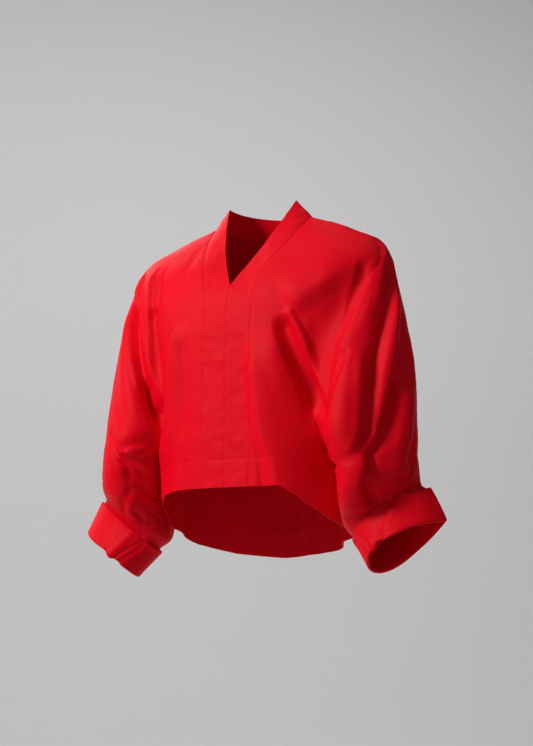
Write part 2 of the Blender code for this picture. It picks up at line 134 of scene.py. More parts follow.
SECTIONS = (
    Section(0.000, 0.100, 0.000, 0.050, 0.000, 0.100, 0.000, 0.000, 0.000, 0.030, 0.100, 0.100),
    Section(-0.005, 0.116, -0.008, 0.068, -0.001, 0.116, 0.016, 0.002, 0.002, 0.030, 0.099, 0.082),
    Section(-0.010, 0.131, -0.015, 0.083, -0.001, 0.131, 0.032, 0.004, 0.004, 0.030, 0.098, 0.052),
    Section(-0.015, 0.146, -0.021, 0.092, -0.002, 0.146, 0.046, 0.006, 0.006, 0.030, 0.097, 0.000),
    Section(-0.036, 0.192, -0.045, 0.099, -0.004, 0.192, 0.090, 0.015, 0.015, 0.030, 0.091, 0.000),
    Section(-0.058, 0.236, -0.064, 0.103, -0.007, 0.236, 0.116, 0.024, 0.024, 0.030, 0.083, 0.000),
    Section(-0.100, 0.256, -0.098, 0.107, -0.012, 0.267, 0.128, 0.045, 0.045, 0.030, 0.065, 0.000),
    Section(-0.160, 0.232, -0.120, 0.107, -0.016, 0.281, 0.094, 0.065, 0.060, 0.028, 0.049, 0.000),
    Section(-0.230, 0.208, -0.126, 0.104, -0.019, 0.297, 0.072, 0.079, 0.068, 0.024, 0.048, 0.000),
    Section(-0.300, 0.192, -0.127, 0.100, -0.021, 0.307, 0.058, 0.090, 0.073, 0.018, 0.048, 0.000),
    Section(-0.360, 0.182, -0.128, 0.097, -0.023, 0.311, 0.042, 0.100, 0.076, 0.012, 0.048, 0.000),
    Section(-0.410, 0.176, -0.129, 0.095, -0.024, 0.312, 0.018, 0.105, 0.078, 0.004, 0.048, 0.000),
    Section(-0.440, 0.173, -0.129, 0.093, -0.024, 0.311, 0.000, 0.103, 0.078, 0.000, 0.048, 0.000),
    Section(-0.486, 0.172, -0.130, 0.090, -0.024, 0.311, 0.000, 0.100, 0.078, 0.000, 0.048, 0.000),
    Section(-0.550, 0.175, -0.131, 0.087, -0.024, 0.311, 0.000, 0.100, 0.078, 0.000, 0.048, 0.000),
    Section(-0.620, 0.178, -0.131, 0.084, -0.024, 0.311, 0.000, 0.100, 0.078, 0.000, 0.048, 0.000),
)
UNDERARM = 12

SLEEVE_SECTIONS = (
    SleeveSection(0.242, -0.024, -0.440, 0.069, 0.103, 0.078, 0.0, 0.00, 0.00, 0.55),
    SleeveSection(0.248, -0.022, -0.470, 0.066, 0.098, 0.070, 2.0, 0.16, -0.07, 0.58),
    SleeveSection(0.249, -0.023, -0.500, 0.067, 0.089, 0.060, 4.0, 0.34, -0.16, 0.62),
    SleeveSection(0.252, -0.026, -0.522, 0.068, 0.068, 0.050, 6.0, 0.54, -0.26, 0.70),
    SleeveSection(0.268, -0.028, -0.538, 0.062, 0.037, 0.037, 8.0, 0.72, -0.33, 0.85),
    SleeveSection(0.304, -0.047, -0.583, 0.062, 0.031, 0.042, 25.0, 0.74, -0.33, 0.95),
)

# Girth, and place in the table of sleeve sections, of the seam between the sleeve and its lower band. The
# band dips into the cuff at CUFF_TUCK and ends at CUFF_SEAM.
SLEEVE_SEAM = {
    Side.LEFT: ((1.0, 1.3), (1.24, 2.0), (1.35, 3.0), (1.5, 3.6), (2.2, 3.6), (2.6, 2.8), (3.0, 1.3)),
    Side.RIGHT: ((1.0, 2.5), (1.12, 2.26), (1.29, 1.79), (1.44, 1.43), (1.7, 1.0), (2.2, 1.0), (3.0, 2.5)),
}
CUFF_TUCK = 3.85
CUFF_SEAM = 4.15

# Angle round the body from the centre front in degrees, and the height of the hem there.
HEM = {
    Side.LEFT: ((0.0, -0.486), (33.0, -0.487), (54.0, -0.519), (72.0, -0.540), (90.0, -0.553),
                (120.0, -0.574), (150.0, -0.591), (180.0, -0.600)),
    Side.RIGHT: ((0.0, -0.486), (33.0, -0.487), (60.0, -0.493), (76.0, -0.516), (90.0, -0.545),
                 (120.0, -0.574), (150.0, -0.591), (180.0, -0.600)),
}


class SmoothTable:
    """A table whose columns are read between its rows along curves that don't overshoot."""

    def __init__(self, rows: tuple) -> None:
        """Work out the curve's slope at every row.

        Args:
            rows: Dataclass rows of numbers, all of one kind.
        """
        self.names = [one.name for one in fields(rows[0])]
        self.values = np.array([[getattr(row, name) for name in self.names] for row in rows])
        step = np.diff(self.values, axis=0)
        product = step[:-1] * step[1:]
        total = step[:-1] + step[1:]
        inner = np.where(product > 0, 2 * product / np.where(total == 0, 1, total), 0)
        self.slope = np.concatenate([step[:1], inner, step[-1:]])

    def read(self, places: np.ndarray) -> dict[str, np.ndarray]:
        """Read every column.

        Args:
            places: Places in the table, counted in rows, of any shape.

        Returns:
            Each column's values by name, in the shape of places.
        """
        places = np.asarray(places, float)
        first = np.clip(places.astype(int), 0, len(self.values) - 2)
        t = (places - first)[..., None]
        rise = 3 * t**2 - 2 * t**3
        read = (1 - rise) * self.values[first] + rise * self.values[first + 1]
        read += (t**3 - 2 * t**2 + t) * self.slope[first] + (t**3 - t**2) * self.slope[first + 1]
        return {name: read[..., k] for k, name in enumerate(self.names)}


def smooth_step(share: np.ndarray) -> np.ndarray:
    """Return a smooth rise from 0 to 1 over a share from 0 to 1."""
    share = np.clip(share, 0.0, 1.0)
    return share * share * (3 - 2 * share)


def mirrored(girth: np.ndarray) -> tuple[np.ndarray, np.ndarray]:
    """Return which girths are at the back, and the girths with those mirrored to the front."""
    back = girth > OVERARM
    return back, np.where(back, CENTRE_BACK - girth, girth)


@dataclass
class BlouseForm:
    """The blouse's form without its folds: body and sleeves as lobes that run into each other."""

    squareness: float = 2.3
    overarm_crease: float = 0.55
    stand_top: tuple[float, float, float] = (0.070, 0.0, 0.034)
    v_point: tuple[float, float, float] = (0.0, -0.111, -0.133)
    v_bow: tuple[float, float, float] = (0.007, -0.003, 0.0)
    v_end_section: float = 7.0
    back_stand_top: tuple[float, float, float] = (0.0, 0.071, 0.021)
    sections: SmoothTable = field(default_factory=lambda: SmoothTable(SECTIONS))
    sleeve: SmoothTable = field(default_factory=lambda: SmoothTable(SLEEVE_SECTIONS))

    def __post_init__(self) -> None:
        """Keep the heights of closely spaced places, to find a place by its height."""
        self.fine_places = np.linspace(0, len(SECTIONS) - 1, FINE_STEPS + 1)
        self.fine_heights = self.sections.read(self.fine_places)["height"]

    def place_of(self, height: np.ndarray) -> np.ndarray:
        """Return the place in the table of sections at a height."""
        return np.interp(-np.asarray(height, float), -self.fine_heights, self.fine_places)

    def torso_angle(self, x: np.ndarray, torso: np.ndarray) -> np.ndarray:
        """Return the angle round the body from its centre line at which its outline reaches x."""
        share = np.clip(np.abs(x) / torso, 0.0, 1.0)
        return np.arcsin(share ** (self.squareness / 2))

    def torso_depth(self, x: np.ndarray, s: dict[str, np.ndarray], back: np.ndarray) -> np.ndarray:
        """Return how far the body reaches out from the line of the side seams at x."""
        reach = np.where(back, s["back"] - s["middle"], s["middle"] - s["front"])
        share = np.clip(np.abs(x) / s["torso"], 0.0, 1.0)
        return reach * (1 - share**self.squareness) ** (1 / self.squareness)

    @staticmethod
    def crease_shape(angle: np.ndarray, crease: np.ndarray) -> np.ndarray:
        """Return a sleeve's relative depth at an angle, 0 at the overarm crease and pi inside."""
        return np.sin(angle) * (1 - crease + crease * np.sin(angle / 2) * math.sqrt(2))

    def body_x(self, girth: np.ndarray, s: dict[str, np.ndarray]) -> np.ndarray:
        """Return x at a girth, from a panel's inner edge to the trough beside the sleeve."""
        back, folded = mirrored(girth)
        start = self.torso_angle(np.where(back, s["neck"], s["seam"]), s["torso"])
        end = self.torso_angle(s["torso"] - s["overlap"] / 2, s["torso"])
        angle = start + (end - start) * np.clip(folded, 0.0, 1.0)
        return s["torso"] * np.abs(np.sin(angle)) ** (2 / self.squareness)

    def upper(self, girth: np.ndarray, place: np.ndarray) -> np.ndarray:
        """Return points above the underarm.

        Args:
            girth: Girths from 0 to 4.
            place: Places in the table of sections, in a shape that goes with girth's.

        Returns:
            Points, with x, y and z along the last axis.
        """
        girth, place = np.broadcast_arrays(np.asarray(girth, float), np.asarray(place, float))
        s = self.sections.read(place)
        back, folded = mirrored(girth)
        half = np.maximum((s["arm"] - s["torso"] + s["overlap"]) / 2, 1e-9)
        centre = s["arm"] - half
        trough = s["torso"] - s["overlap"] / 2
        start = np.arccos(np.clip((trough - centre) / half, -1.0, 1.0))
        x_arm = centre + half * np.cos(start * (2 - np.clip(folded, 1.0, 2.0)))
        x = np.where(folded > 1, x_arm, self.body_x(girth, s))
        torso = self.torso_depth(x, s, back)
        angle = np.arccos(np.clip((x - centre) / half, -1.0, 1.0))
        reach = np.where(back, s["bulge_back"], s["bulge"])
        arm = reach * self.crease_shape(angle, self.overarm_crease)
        blend = np.minimum(s["blend"], np.minimum(torso, arm))
        soft = np.maximum(blend - np.abs(torso - arm), 0.0) ** 2 / (4 * np.maximum(blend, 1e-6))
        depth = np.maximum(torso, arm) + np.where(blend > 1e-6, soft, 0.0)
        return np.stack([x, s["middle"] + np.where(back, depth, -depth), s["height"]], axis=-1)

    def body_at(self, girth: np.ndarray, height: np.ndarray) -> np.ndarray:
        """Return points of the body alone at a girth and a height."""
        girth, height = np.broadcast_arrays(np.asarray(girth, float), np.asarray(height, float))
        s = self.sections.read(self.place_of(height))
        back = girth > OVERARM
        x = self.body_x(girth, s)
        depth = self.torso_depth(x, s, back)
        return np.stack([x, s["middle"] + np.where(back, depth, -depth), height], axis=-1)

    def underarm(self, side: Side) -> np.ndarray:
        """Return the point where the underarm seam and the side seam meet."""
        return self.upper(1.0, float(UNDERARM)) * (side.value, 1, 1)

    def hem_height(self, girth: np.ndarray, side: Side) -> np.ndarray:
        """Return the height of the hem at a girth round one side of the body."""
        s = self.sections.read(np.full(np.shape(girth), float(UNDERARM)))
        angle = np.degrees(self.torso_angle(self.body_x(girth, s), s["torso"]))
        degrees, heights = zip(*HEM[side])
        return np.interp(np.where(girth > OVERARM, 180 - angle, angle), degrees, heights)

    def body(self, girth: np.ndarray, share: np.ndarray, side: Side) -> np.ndarray:
        """Return points of the body below the underarm, at a share of the way down to the hem."""
        top = SECTIONS[UNDERARM].height
        return self.body_at(girth, top + (self.hem_height(girth, side) - top) * share)

    @staticmethod
    def sleeve_seam(girth: np.ndarray, side: Side) -> np.ndarray:
        """Return the place of the seam between the sleeve and its lower band."""
        girths, places = zip(*SLEEVE_SEAM[side])
        return np.interp(girth, girths, places)

    def ring(self, girth: np.ndarray, place: np.ndarray, off: np.ndarray) -> np.ndarray:
        """Return points of a slanting sleeve section, moved off the sleeve by a distance.

        Args:
            girth: Girths from 1 to 3, both of which lie on the underarm seam.
            place: Places in the table of sleeve sections.
            off: Distances out from the sleeve.

        Returns:
            Points, with x, y and z along the last axis.
        """
        girth, place, off = np.broadcast_arrays(girth, place, off)
        s = self.sleeve.read(place)
        back = girth > OVERARM
        angle = math.pi * np.abs(girth - OVERARM)
        reach = np.where(back, s["bulge_back"], s["bulge"]) + off
        depth = reach * self.crease_shape(angle, s["crease"])
        along = (s["half"] + off) * np.cos(angle)
        across = np.where(back, depth, -depth)
        turn = np.radians(s["turn"])
        dx = along * np.cos(turn) - across * np.sin(turn)
        dy = along * np.sin(turn) + across * np.cos(turn)
        rise = s["slope_x"] * dx + s["slope_y"] * dy
        return np.stack([s["x"] + dx, s["y"] + dy, s["z"] + rise], axis=-1)

    def anywhere(self, girth: np.ndarray, height: np.ndarray) -> np.ndarray:
        """Return points of the form at a girth and a height, on whichever stretch of cloth is there."""
        top = SECTIONS[UNDERARM].height
        upper = self.upper(girth, np.minimum(self.place_of(height), UNDERARM))
        heights = [row.z for row in SLEEVE_SECTIONS]
        place = np.interp(-height, [-value for value in heights], range(len(heights)))
        sleeve = self.ring(np.clip(girth, 1.0, 3.0), place, 0.0)
        body = self.body_at(girth, height)
        on_sleeve = (girth > 1) & (girth < 3)
        lower = np.where(on_sleeve[..., None], sleeve, body)
        return np.where((height >= top)[..., None], upper, lower)

    def band_edge_front(self, place: np.ndarray) -> np.ndarray:
        """Return the band's free or centre-front edge at places in the table of sections."""
        height = self.sections.read(place)["height"]
        end = SECTIONS[int(self.v_end_section)].height
        share = np.clip(height / end, 0.0, 1.0) ** 0.8
        share = share[..., None]
        free = np.array(self.stand_top) * (1 - share) + np.array(self.v_point) * share
        free = free + np.array(self.v_bow) * np.sin(math.pi * share)
        shift = (self.v_point[2] - end) * np.clip(1 - (place - self.v_end_section) / 2, 0.0, 1.0)
        level = height + shift
        front = self.sections.read(self.place_of(level))["front"]
        down = np.stack([np.zeros_like(level), front, level], axis=-1)
        return np.where((place <= self.v_end_section)[..., None], free, down)

    def band_edge_back(self, place: np.ndarray) -> np.ndarray:
        """Return the top of the stand behind the shoulder."""
        neck = self.sections.read(place)["neck"]
        angle = np.arccos(np.clip(neck / SECTIONS[0].neck, 0.0, 1.0))
        drop = (self.back_stand_top[2] - self.stand_top[2]) * angle * 2 / math.pi
        x = self.stand_top[0] * np.cos(angle)
        return np.stack([x, self.back_stand_top[1] * np.sin(angle), self.stand_top[2] + drop], axis=-1)


# The folds and creases, each on its side of the blouse.
FOLDS = {
    Side.LEFT: (
        # Front, from the bust down.
        Fold((0.04, -0.195), (0.13, -0.345), (0.25, -0.487), 0.052, 0.0135, 0.35, 0.0, 0.4, -0.5),
        Fold((0.00, -0.260), (0.03, -0.357), (0.07, -0.487), 0.009, 0.0020, 0.3, 0.0, 0.5, 0.2),
        Fold((0.20, -0.205), (0.42, -0.290), (0.72, -0.380), 0.028, 0.0045, 0.3, 0.5, 0.1),
        Fold((0.35, -0.193), (0.66, -0.286), (1.14, -0.384), 0.019, -0.0130, 0.15, 0.2, 0.2),
        Fold((0.40, -0.183), (0.76, -0.252), (1.18, -0.356), 0.010, 0.0055, 0.12, 0.25, 0.5, 0.2),
        Fold((0.36, -0.180), (0.72, -0.150), (1.30, -0.090), 0.045, 0.0080, 0.3, 0.4, 0.1, -0.3),
        Fold((0.50, -0.144), (0.70, -0.136), (0.84, -0.119), 0.008, -0.0010, 0.3, 0.3, 0.5),
        # Front of the sleeve.
        Fold((1.30, -0.120), (1.13, -0.260), (1.10, -0.430), 0.036, -0.0140, 0.3, 0.2, 0.1, 0.3),
        Fold((1.42, -0.095), (1.31, -0.180), (1.24, -0.290), 0.013, -0.0045, 0.2, 0.4, 0.2),
        Fold((1.64, -0.086), (1.51, -0.180), (1.43, -0.290), 0.020, 0.0060, 0.25, 0.6, 0.1, 0.3),
        Fold((1.48, -0.144), (1.40, -0.198), (1.34, -0.244), 0.005, -0.0010, 0.3, 0.3, 0.6),
        Fold((1.96, -0.058), (1.74, -0.088), (1.54, -0.125), 0.009, 0.0030, 0.2, 0.4, 0.5, -0.2),
        Fold((1.88, -0.092), (1.60, -0.232), (1.53, -0.346), 0.014, -0.0110, 0.2, 0.15, 0.3, -0.3),
        Fold((1.53, -0.310), (1.54, -0.380), (1.52, -0.450), 0.012, -0.0085, 0.3, 0.4, 0.3, -0.4),
        Fold((1.86, -0.120), (1.70, -0.270), (1.57, -0.450), 0.025, 0.0115, 0.25, 0.4, 0.3, 0.5),
        Fold((1.40, -0.240), (1.38, -0.350), (1.37, -0.465), 0.034, 0.0105, 0.30, 0.40, 0.0),
        Fold((1.44, -0.258), (1.48, -0.360), (1.49, -0.470), 0.010, 0.0045, 0.3, 0.4, 0.5, 0.3),
        Fold((1.34, -0.258), (1.23, -0.335), (1.18, -0.412), 0.018, -0.0085, 0.15, 0.3, 0.4, 0.6),
        Fold((1.10, -0.444), (1.24, -0.458), (1.34, -0.478), 0.010, -0.0080, 0.1, 0.5, 0.4),
        Fold((1.72, -0.306), (1.67, -0.370), (1.63, -0.450), 0.012, -0.0120, 0.15, 0.4, 0.4, -0.3),
        Fold((1.65, -0.400), (1.58, -0.475), (1.44, -0.535), 0.010, -0.0100, 0.3, 0.03, 0.4, -0.3),
        Fold((1.71, -0.300), (1.76, -0.325), (1.71, -0.385), 0.007, 0.0030, 0.15, 0.4, 0.3),
        Fold((1.78, -0.315), (1.73, -0.387), (1.70, -0.445), 0.008, -0.0035, 0.2, 0.3, 0.3),
        Fold((1.85, -0.310), (1.84, -0.400), (1.76, -0.515), 0.032, 0.0130, 0.25, 0.15, 0.3, 0.55),
        Fold((2.00, -0.200), (1.96, -0.330), (1.97, -0.470), 0.014, 0.0035, 0.3, 0.1),
        Fold((1.58, -0.425), (1.50, -0.485), (1.36, -0.535), 0.032, 0.0105, 0.45, 0.1, 0.2, 0.55),
        Fold((1.56, -0.480), (1.47, -0.508), (1.42, -0.526), 0.007, 0.0015),
        Fold((1.93, -0.470), (1.84, -0.501), (1.76, -0.525), 0.008, 0.0050, 0.3, 0.1, 0.5),
        Fold((1.86, -0.450), (1.79, -0.480), (1.75, -0.516), 0.008, -0.0045, 0.3, 0.1, 0.5),
        Fold((1.16, -0.012), (1.24, -0.047), (1.90, -0.058), 0.014, -0.0015),
        # Cuff.
        Fold((1.72, -0.530), (1.48, -0.552), (1.24, -0.583), 0.016, 0.0075, 0.1, 0.0, 0.6, -0.5),
        Fold((1.58, -0.538), (1.40, -0.560), (1.16, -0.578), 0.014, -0.0040, 0.2, 0.1, 0.3),
        Fold((1.14, -0.540), (1.10, -0.560), (1.14, -0.585), 0.012, 0.0040, 0.2, 0.0, 0.4),
        Fold((1.73, -0.541), (1.73, -0.559), (1.76, -0.577), 0.016, -0.0020),
        # Back of the body and the sleeve.
        Fold((3.70, -0.130), (3.62, -0.350), (3.60, -0.610), 0.026, 0.0080, 0.5, 0.0, 0.3, 0.2),
        Fold((3.46, -0.170), (3.34, -0.360), (3.40, -0.600), 0.024, -0.0100, 0.4, 0.0, 0.2),
        Fold((3.30, -0.150), (3.22, -0.330), (3.24, -0.590), 0.014, 0.0050, 0.4, 0.0, 0.5, -0.3),
        Fold((2.90, -0.110), (2.92, -0.260), (3.02, -0.400), 0.026, -0.0110, 0.3, 0.3, 0.3),
        Fold((2.70, -0.080), (2.74, -0.240), (2.86, -0.420), 0.016, 0.0070, 0.3, 0.3, 0.5, 0.3),
        Fold((2.52, -0.110), (2.56, -0.280), (2.50, -0.440), 0.020, -0.0110, 0.3, 0.2, 0.3),
        Fold((2.34, -0.200), (2.38, -0.340), (2.34, -0.480), 0.014, 0.0070, 0.3, 0.2, 0.4, -0.3),
        Fold((2.50, -0.420), (2.64, -0.470), (2.80, -0.520), 0.012, -0.0070, 0.2, 0.2, 0.4),
        Fold((2.36, -0.450), (2.44, -0.490), (2.58, -0.530), 0.014, 0.0060, 0.2, 0.2, 0.3),
        Fold((3.90, -0.060), (3.70, -0.110), (3.20, -0.150), 0.024, 0.0040, 0.4, 0.4, 0.1),
        Fold((3.84, -0.300), (3.88, -0.440), (3.84, -0.600), 0.014, -0.0040, 0.4, 0.0, 0.3),
    ),
    Side.RIGHT: (
        # Front, from the shoulder down.
        Fold((0.36, -0.186), (0.58, -0.300), (0.86, -0.484), 0.028, 0.0100, 0.20, 0.0, 0.5, 0.6),
        Fold((0.26, -0.195), (0.24, -0.334), (0.18, -0.487), 0.010, -0.0020, 0.2, 0.0, 0.4, -0.3),
        Fold((0.96, -0.060), (0.90, -0.137), (1.02, -0.200), 0.008, -0.0035, 0.3, 0.3, 0.5),
        Fold((1.06, -0.066), (1.00, -0.140), (1.08, -0.240), 0.009, 0.0030, 0.3, 0.3, 0.5),
        Fold((0.72, -0.066), (0.74, -0.128), (0.86, -0.180), 0.008, -0.0035, 0.3, 0.3, 0.5),
        Fold((0.86, -0.150), (0.92, -0.220), (0.88, -0.320), 0.014, -0.0060, 0.15, 0.4, 0.4),
        Fold((0.20, -0.030), (0.20, -0.066), (0.34, -0.113), 0.012, -0.0015),
        Fold((0.36, -0.191), (0.32, -0.234), (0.32, -0.280), 0.010, -0.0015),
        # Front of the sleeve.
        Fold((1.42, -0.066), (1.24, -0.225), (0.88, -0.385), 0.016, -0.0170, 0.12, 0.15, 0.4, 0.3),
        Fold((1.56, -0.090), (1.38, -0.240), (1.08, -0.400), 0.022, 0.0060, 0.3, 0.3, 0.2, -0.4),
        Fold((1.10, -0.270), (1.04, -0.330), (0.84, -0.370), 0.020, -0.0120, 0.3, 0.3, 0.2),
        Fold((1.42, -0.057), (1.16, -0.116), (1.14, -0.184), 0.012, -0.0020),
        Fold((1.54, -0.368), (1.36, -0.425), (1.28, -0.472), 0.014, -0.0075, 0.15, 0.3, 0.6, 0.5),
        Fold((1.32, -0.414), (1.18, -0.402), (1.00, -0.400), 0.012, -0.0035, 0.1, 0.3, 0.5, 0.4),
        Fold((1.24, -0.444), (1.14, -0.432), (1.02, -0.419), 0.010, 0.0050, 0.2, 0.2, 0.6, -0.5),
        Fold((1.32, -0.418), (1.24, -0.445), (1.14, -0.458), 0.008, -0.0040, 0.1, 0.3, 0.6),
        Fold((1.22, -0.466), (1.15, -0.480), (1.06, -0.484), 0.011, -0.0070, 0.2, 0.2, 0.5, 0.4),
        Fold((1.26, -0.470), (1.29, -0.489), (1.31, -0.503), 0.008, -0.0030, 0.3, 0.2, 0.4),
        Fold((1.27, -0.510), (1.20, -0.524), (1.08, -0.516), 0.011, -0.0070, 0.2, 0.2, 0.5, 0.4),
        Fold((1.32, -0.501), (1.35, -0.517), (1.36, -0.530), 0.008, -0.0030, 0.2, 0.2, 0.4),
        Fold((1.74, -0.200), (1.66, -0.310), (1.64, -0.440), 0.020, -0.0050, 0.4, 0.3, 0.2),
        # Cuff.
        Fold((1.58, -0.540), (1.43, -0.562), (1.26, -0.583), 0.010, 0.0030, 0.1, 0.0, 0.5),
        Fold((1.27, -0.536), (1.22, -0.566), (1.18, -0.585), 0.008, -0.0030, 0.1, 0.0, 0.6),
        Fold((1.12, -0.530), (1.12, -0.562), (1.10, -0.585), 0.010, 0.0035, 0.1, 0.0, 0.6),
        # Back of the body and the sleeve.
        Fold((3.64, -0.150), (3.70, -0.340), (3.62, -0.610), 0.024, -0.0080, 0.5, 0.0, 0.2),
        Fold((3.40, -0.150), (3.36, -0.350), (3.26, -0.590), 0.026, 0.0090, 0.4, 0.0, 0.3, 0.3),
        Fold((3.20, -0.200), (3.16, -0.360), (3.10, -0.560), 0.014, -0.0060, 0.4, 0.0, 0.4),
        Fold((2.94, -0.130), (2.96, -0.260), (3.04, -0.400), 0.024, -0.0120, 0.3, 0.3, 0.3),
        Fold((2.76, -0.100), (2.74, -0.260), (2.84, -0.430), 0.014, 0.0060, 0.3, 0.3, 0.5, -0.3),
        Fold((2.60, -0.150), (2.52, -0.290), (2.56, -0.440), 0.018, -0.0100, 0.3, 0.2, 0.3),
        Fold((2.30, -0.180), (2.36, -0.330), (2.30, -0.460), 0.016, 0.0070, 0.3, 0.2, 0.4, 0.3),
        Fold((2.60, -0.430), (2.74, -0.460), (2.90, -0.500), 0.012, -0.0060, 0.2, 0.2, 0.4),
        Fold((2.20, -0.470), (2.40, -0.500), (2.60, -0.510), 0.010, 0.0050, 0.2, 0.2, 0.4),
        Fold((3.92, -0.070), (3.74, -0.120), (3.30, -0.170), 0.022, 0.0035, 0.4, 0.4, 0.1),
    ),
}


@dataclass
class FoldSet:
    """The folds and creases of both sides, as distances that they move the cloth out.

    Every crest is rounded off by the length crest. The folds die out within underarm_calm of the point
    where the underarm and side seams meet.
    """

    form: BlouseForm
    steps: int = 16
    crest: float = 0.0035
    underarm_calm: float = 0.035

    def path(self, side: Side, fold: Fold) -> np.ndarray:
        """Return points along a fold, on a smooth curve through its start, bend and end."""
        t = np.linspace(0, 1, self.steps + 1)[:, None]
        girth_height = ((2 * t - 1) * (t - 1) * np.array(fold.start) + 4 * t * (1 - t) * np.array(fold.bend)
                        + t * (2 * t - 1) * np.array(fold.end))
        return self.form.anywhere(girth_height[:, 0], girth_height[:, 1]) * (side.value, 1, 1)

    def one(self, points: np.ndarray, normals: np.ndarray, side: Side,
            fold: Fold) -> tuple[np.ndarray, np.ndarray]:
        """Work out one fold.

        Args:
            points: Points of the form.
            normals: The form's normals there.
            side: The side of the blouse that the fold is on.
            fold: The fold.

        Returns:
            The numbers of the points that the fold reaches, and how far it moves each of them out.
        """
        path = self.path(side, fold)
        reach = fold.width * (1 + abs(fold.lean))
        low = path.min(axis=0) - reach
        high = path.max(axis=0) + reach
        reached = np.flatnonzero(np.all((points >= low) & (points <= high), axis=1))
        near = points[reached]
        nearest = np.full(len(near), np.inf)
        along = np.zeros(len(near))
        turn = np.zeros(len(near))
        for k in range(self.steps):
            run = path[k + 1] - path[k]
            share = np.clip((near - path[k]) @ run / (run @ run), 0, 1)
            off = near - path[k] - share[:, None] * run
            distance = np.linalg.norm(off, axis=1)
            closer = distance < nearest
            nearest[closer] = distance[closer]
            along[closer] = (k + share[closer]) / self.steps
            beside = np.cross(normals[reached[closer]], run)
            turn[closer] = np.sign(np.einsum("ij,ij->i", off[closer], beside)) * side.value
        width = fold.width * (1 - fold.lean * turn)
        away = np.clip((np.hypot(nearest, self.crest) - self.crest) / width, 0, 1)
        shape = (1 - fold.crisp) * (0.5 + 0.5 * np.cos(math.pi * away)) + fold.crisp * (1 - away) ** 2
        strength = smooth_step(along / fold.fade)
        if fold.fade_end > 0:
            strength = strength * smooth_step((1 - along) / fold.fade_end)
        return reached, fold.depth * shape * strength

    def offsets(self, points: np.ndarray, normals: np.ndarray) -> np.ndarray:
        """Return how far all the folds together move each point out."""
        total = np.zeros(len(points))
        for side in Side:
            for fold in FOLDS[side]:
                reached, moves = self.one(points, normals, side, fold)
                total[reached] += moves
            from_underarm = np.linalg.norm(points - self.form.underarm(side), axis=1)
            total *= smooth_step(from_underarm / self.underarm_calm)
        return total


@dataclass
class Patch:
    """A grid of points that belongs to one piece, with its places on the cloth in metres."""

    piece: str
    side: Side
    points: np.ndarray
    across: np.ndarray
    down: np.ndarray
    numbers: np.ndarray | None = None


class Skin:
    """The blouse as one skin of shared points, from which every piece is cut."""

    def __init__(self, form: BlouseForm) -> None:
        """Start an empty skin.

        Args:
            form: The form that the folds are placed on.
        """
        self.form = form
        self.patches: list[Patch] = []
        self.points = np.empty((0, 3))
        self.normals = np.empty((0, 3))
        self.underarms: list[int] = []

    def add(self, piece: str, side: Side, points: np.ndarray, after: tuple | None = None) -> tuple:
        """Add a grid of points to a piece.

        Args:
            piece: The piece's name.
            side: Its side of the blouse. The points are those of the left side.
            points: Rows of points, from the top down, with the outer side to the front.
            after: The places on the cloth of the first row, if it carries on from another grid.

        Returns:
            The places across and down the cloth of the last row.
        """
        widths = np.linalg.norm(np.diff(points, axis=1), axis=2)
        across = np.concatenate([np.zeros((len(points), 1)), widths.cumsum(axis=1)], axis=1)
        heights = np.linalg.norm(np.diff(points, axis=0), axis=2)
        down = np.concatenate([np.zeros((1, points.shape[1])), heights.cumsum(axis=0)], axis=0)
        if after is not None:
            across = across + after[0][0] - across[0, 0]
            down = down + after[1]
        placed = points * (side.value, 1, 1)
        self.patches.append(Patch(piece, side, placed, across, down))
        return across[-1], down[-1]

    def join(self) -> None:
        """Give points that lie in one place one number, and work out the normals."""
        everything = np.concatenate([patch.points.reshape(-1, 3) for patch in self.patches])
        keys = np.round(everything / SAME_POINT).astype(np.int64)
        _, first, numbers = np.unique(keys, axis=0, return_index=True, return_inverse=True)
        numbers = numbers.reshape(-1)
        self.points = everything[first]
        start = 0
        for patch in self.patches:
            rows, columns = patch.points.shape[:2]
            patch.numbers = numbers[start:start + rows * columns].reshape(rows, columns)
            start += rows * columns
        for side in Side:
            underarm = self.form.underarm(side)
            self.underarms.append(int(np.argmin(np.linalg.norm(self.points - underarm, axis=1))))
        self.find_normals()

    def corners(self, patch: Patch) -> list[np.ndarray]:
        """Return the four corners' numbers of every cell of a grid, so that the cells face out."""
        n = patch.numbers
        ring = [n[:-1, :-1], n[1:, :-1], n[1:, 1:], n[:-1, 1:]]
        ring = [corner.reshape(-1) for corner in ring]
        return ring if patch.side is Side.LEFT else ring[::-1]

    def find_normals(self) -> None:
        """Work out every point's normal, from the cells that meet there. At the underarms it is down."""
        total = np.zeros_like(self.points)
        for patch in self.patches:
            a, b, c, d = self.corners(patch)
            p = self.points
            area = np.cross(p[c] - p[a], p[d] - p[b])
            for corner in (a, b, c, d):
                np.add.at(total, corner, area)
        total[self.underarms] = (0.0, 0.0, -1.0)
        self.normals = total / np.maximum(np.linalg.norm(total, axis=1), 1e-15)[:, None]

    def move_out(self, distances: np.ndarray) -> None:
        """Move every point out along its normal by its own distance."""
        self.points = self.points + self.normals * distances[:, None]
        self.find_normals()

    def cells(self, piece: str) -> tuple[list[tuple], list[list[tuple[float, float]]]]:
        """Return a piece's cells and the places of their corners on the cloth.

        Args:
            piece: The piece's name.

        Returns:
            The corners' numbers of each cell, and each cell's places across and down the cloth.
        """
        cells, places = [], []
        for patch in self.patches:
            if patch.piece != piece:
                continue
            order = replace(patch, numbers=np.arange(patch.numbers.size).reshape(patch.numbers.shape))
            numbers = patch.numbers.reshape(-1)
            across = patch.across.reshape(-1)
            down = patch.down.reshape(-1)
            for ring in zip(*self.corners(order)):
                kept = [k for i, k in enumerate(ring) if numbers[k] != numbers[ring[i - 1]]]
                if len(kept) < 3 or len({numbers[k] for k in kept}) < 3:
                    continue
                cells.append(tuple(int(numbers[k]) for k in kept))
                places.append([(float(across[k]), float(down[k])) for k in kept])
        return cells, places


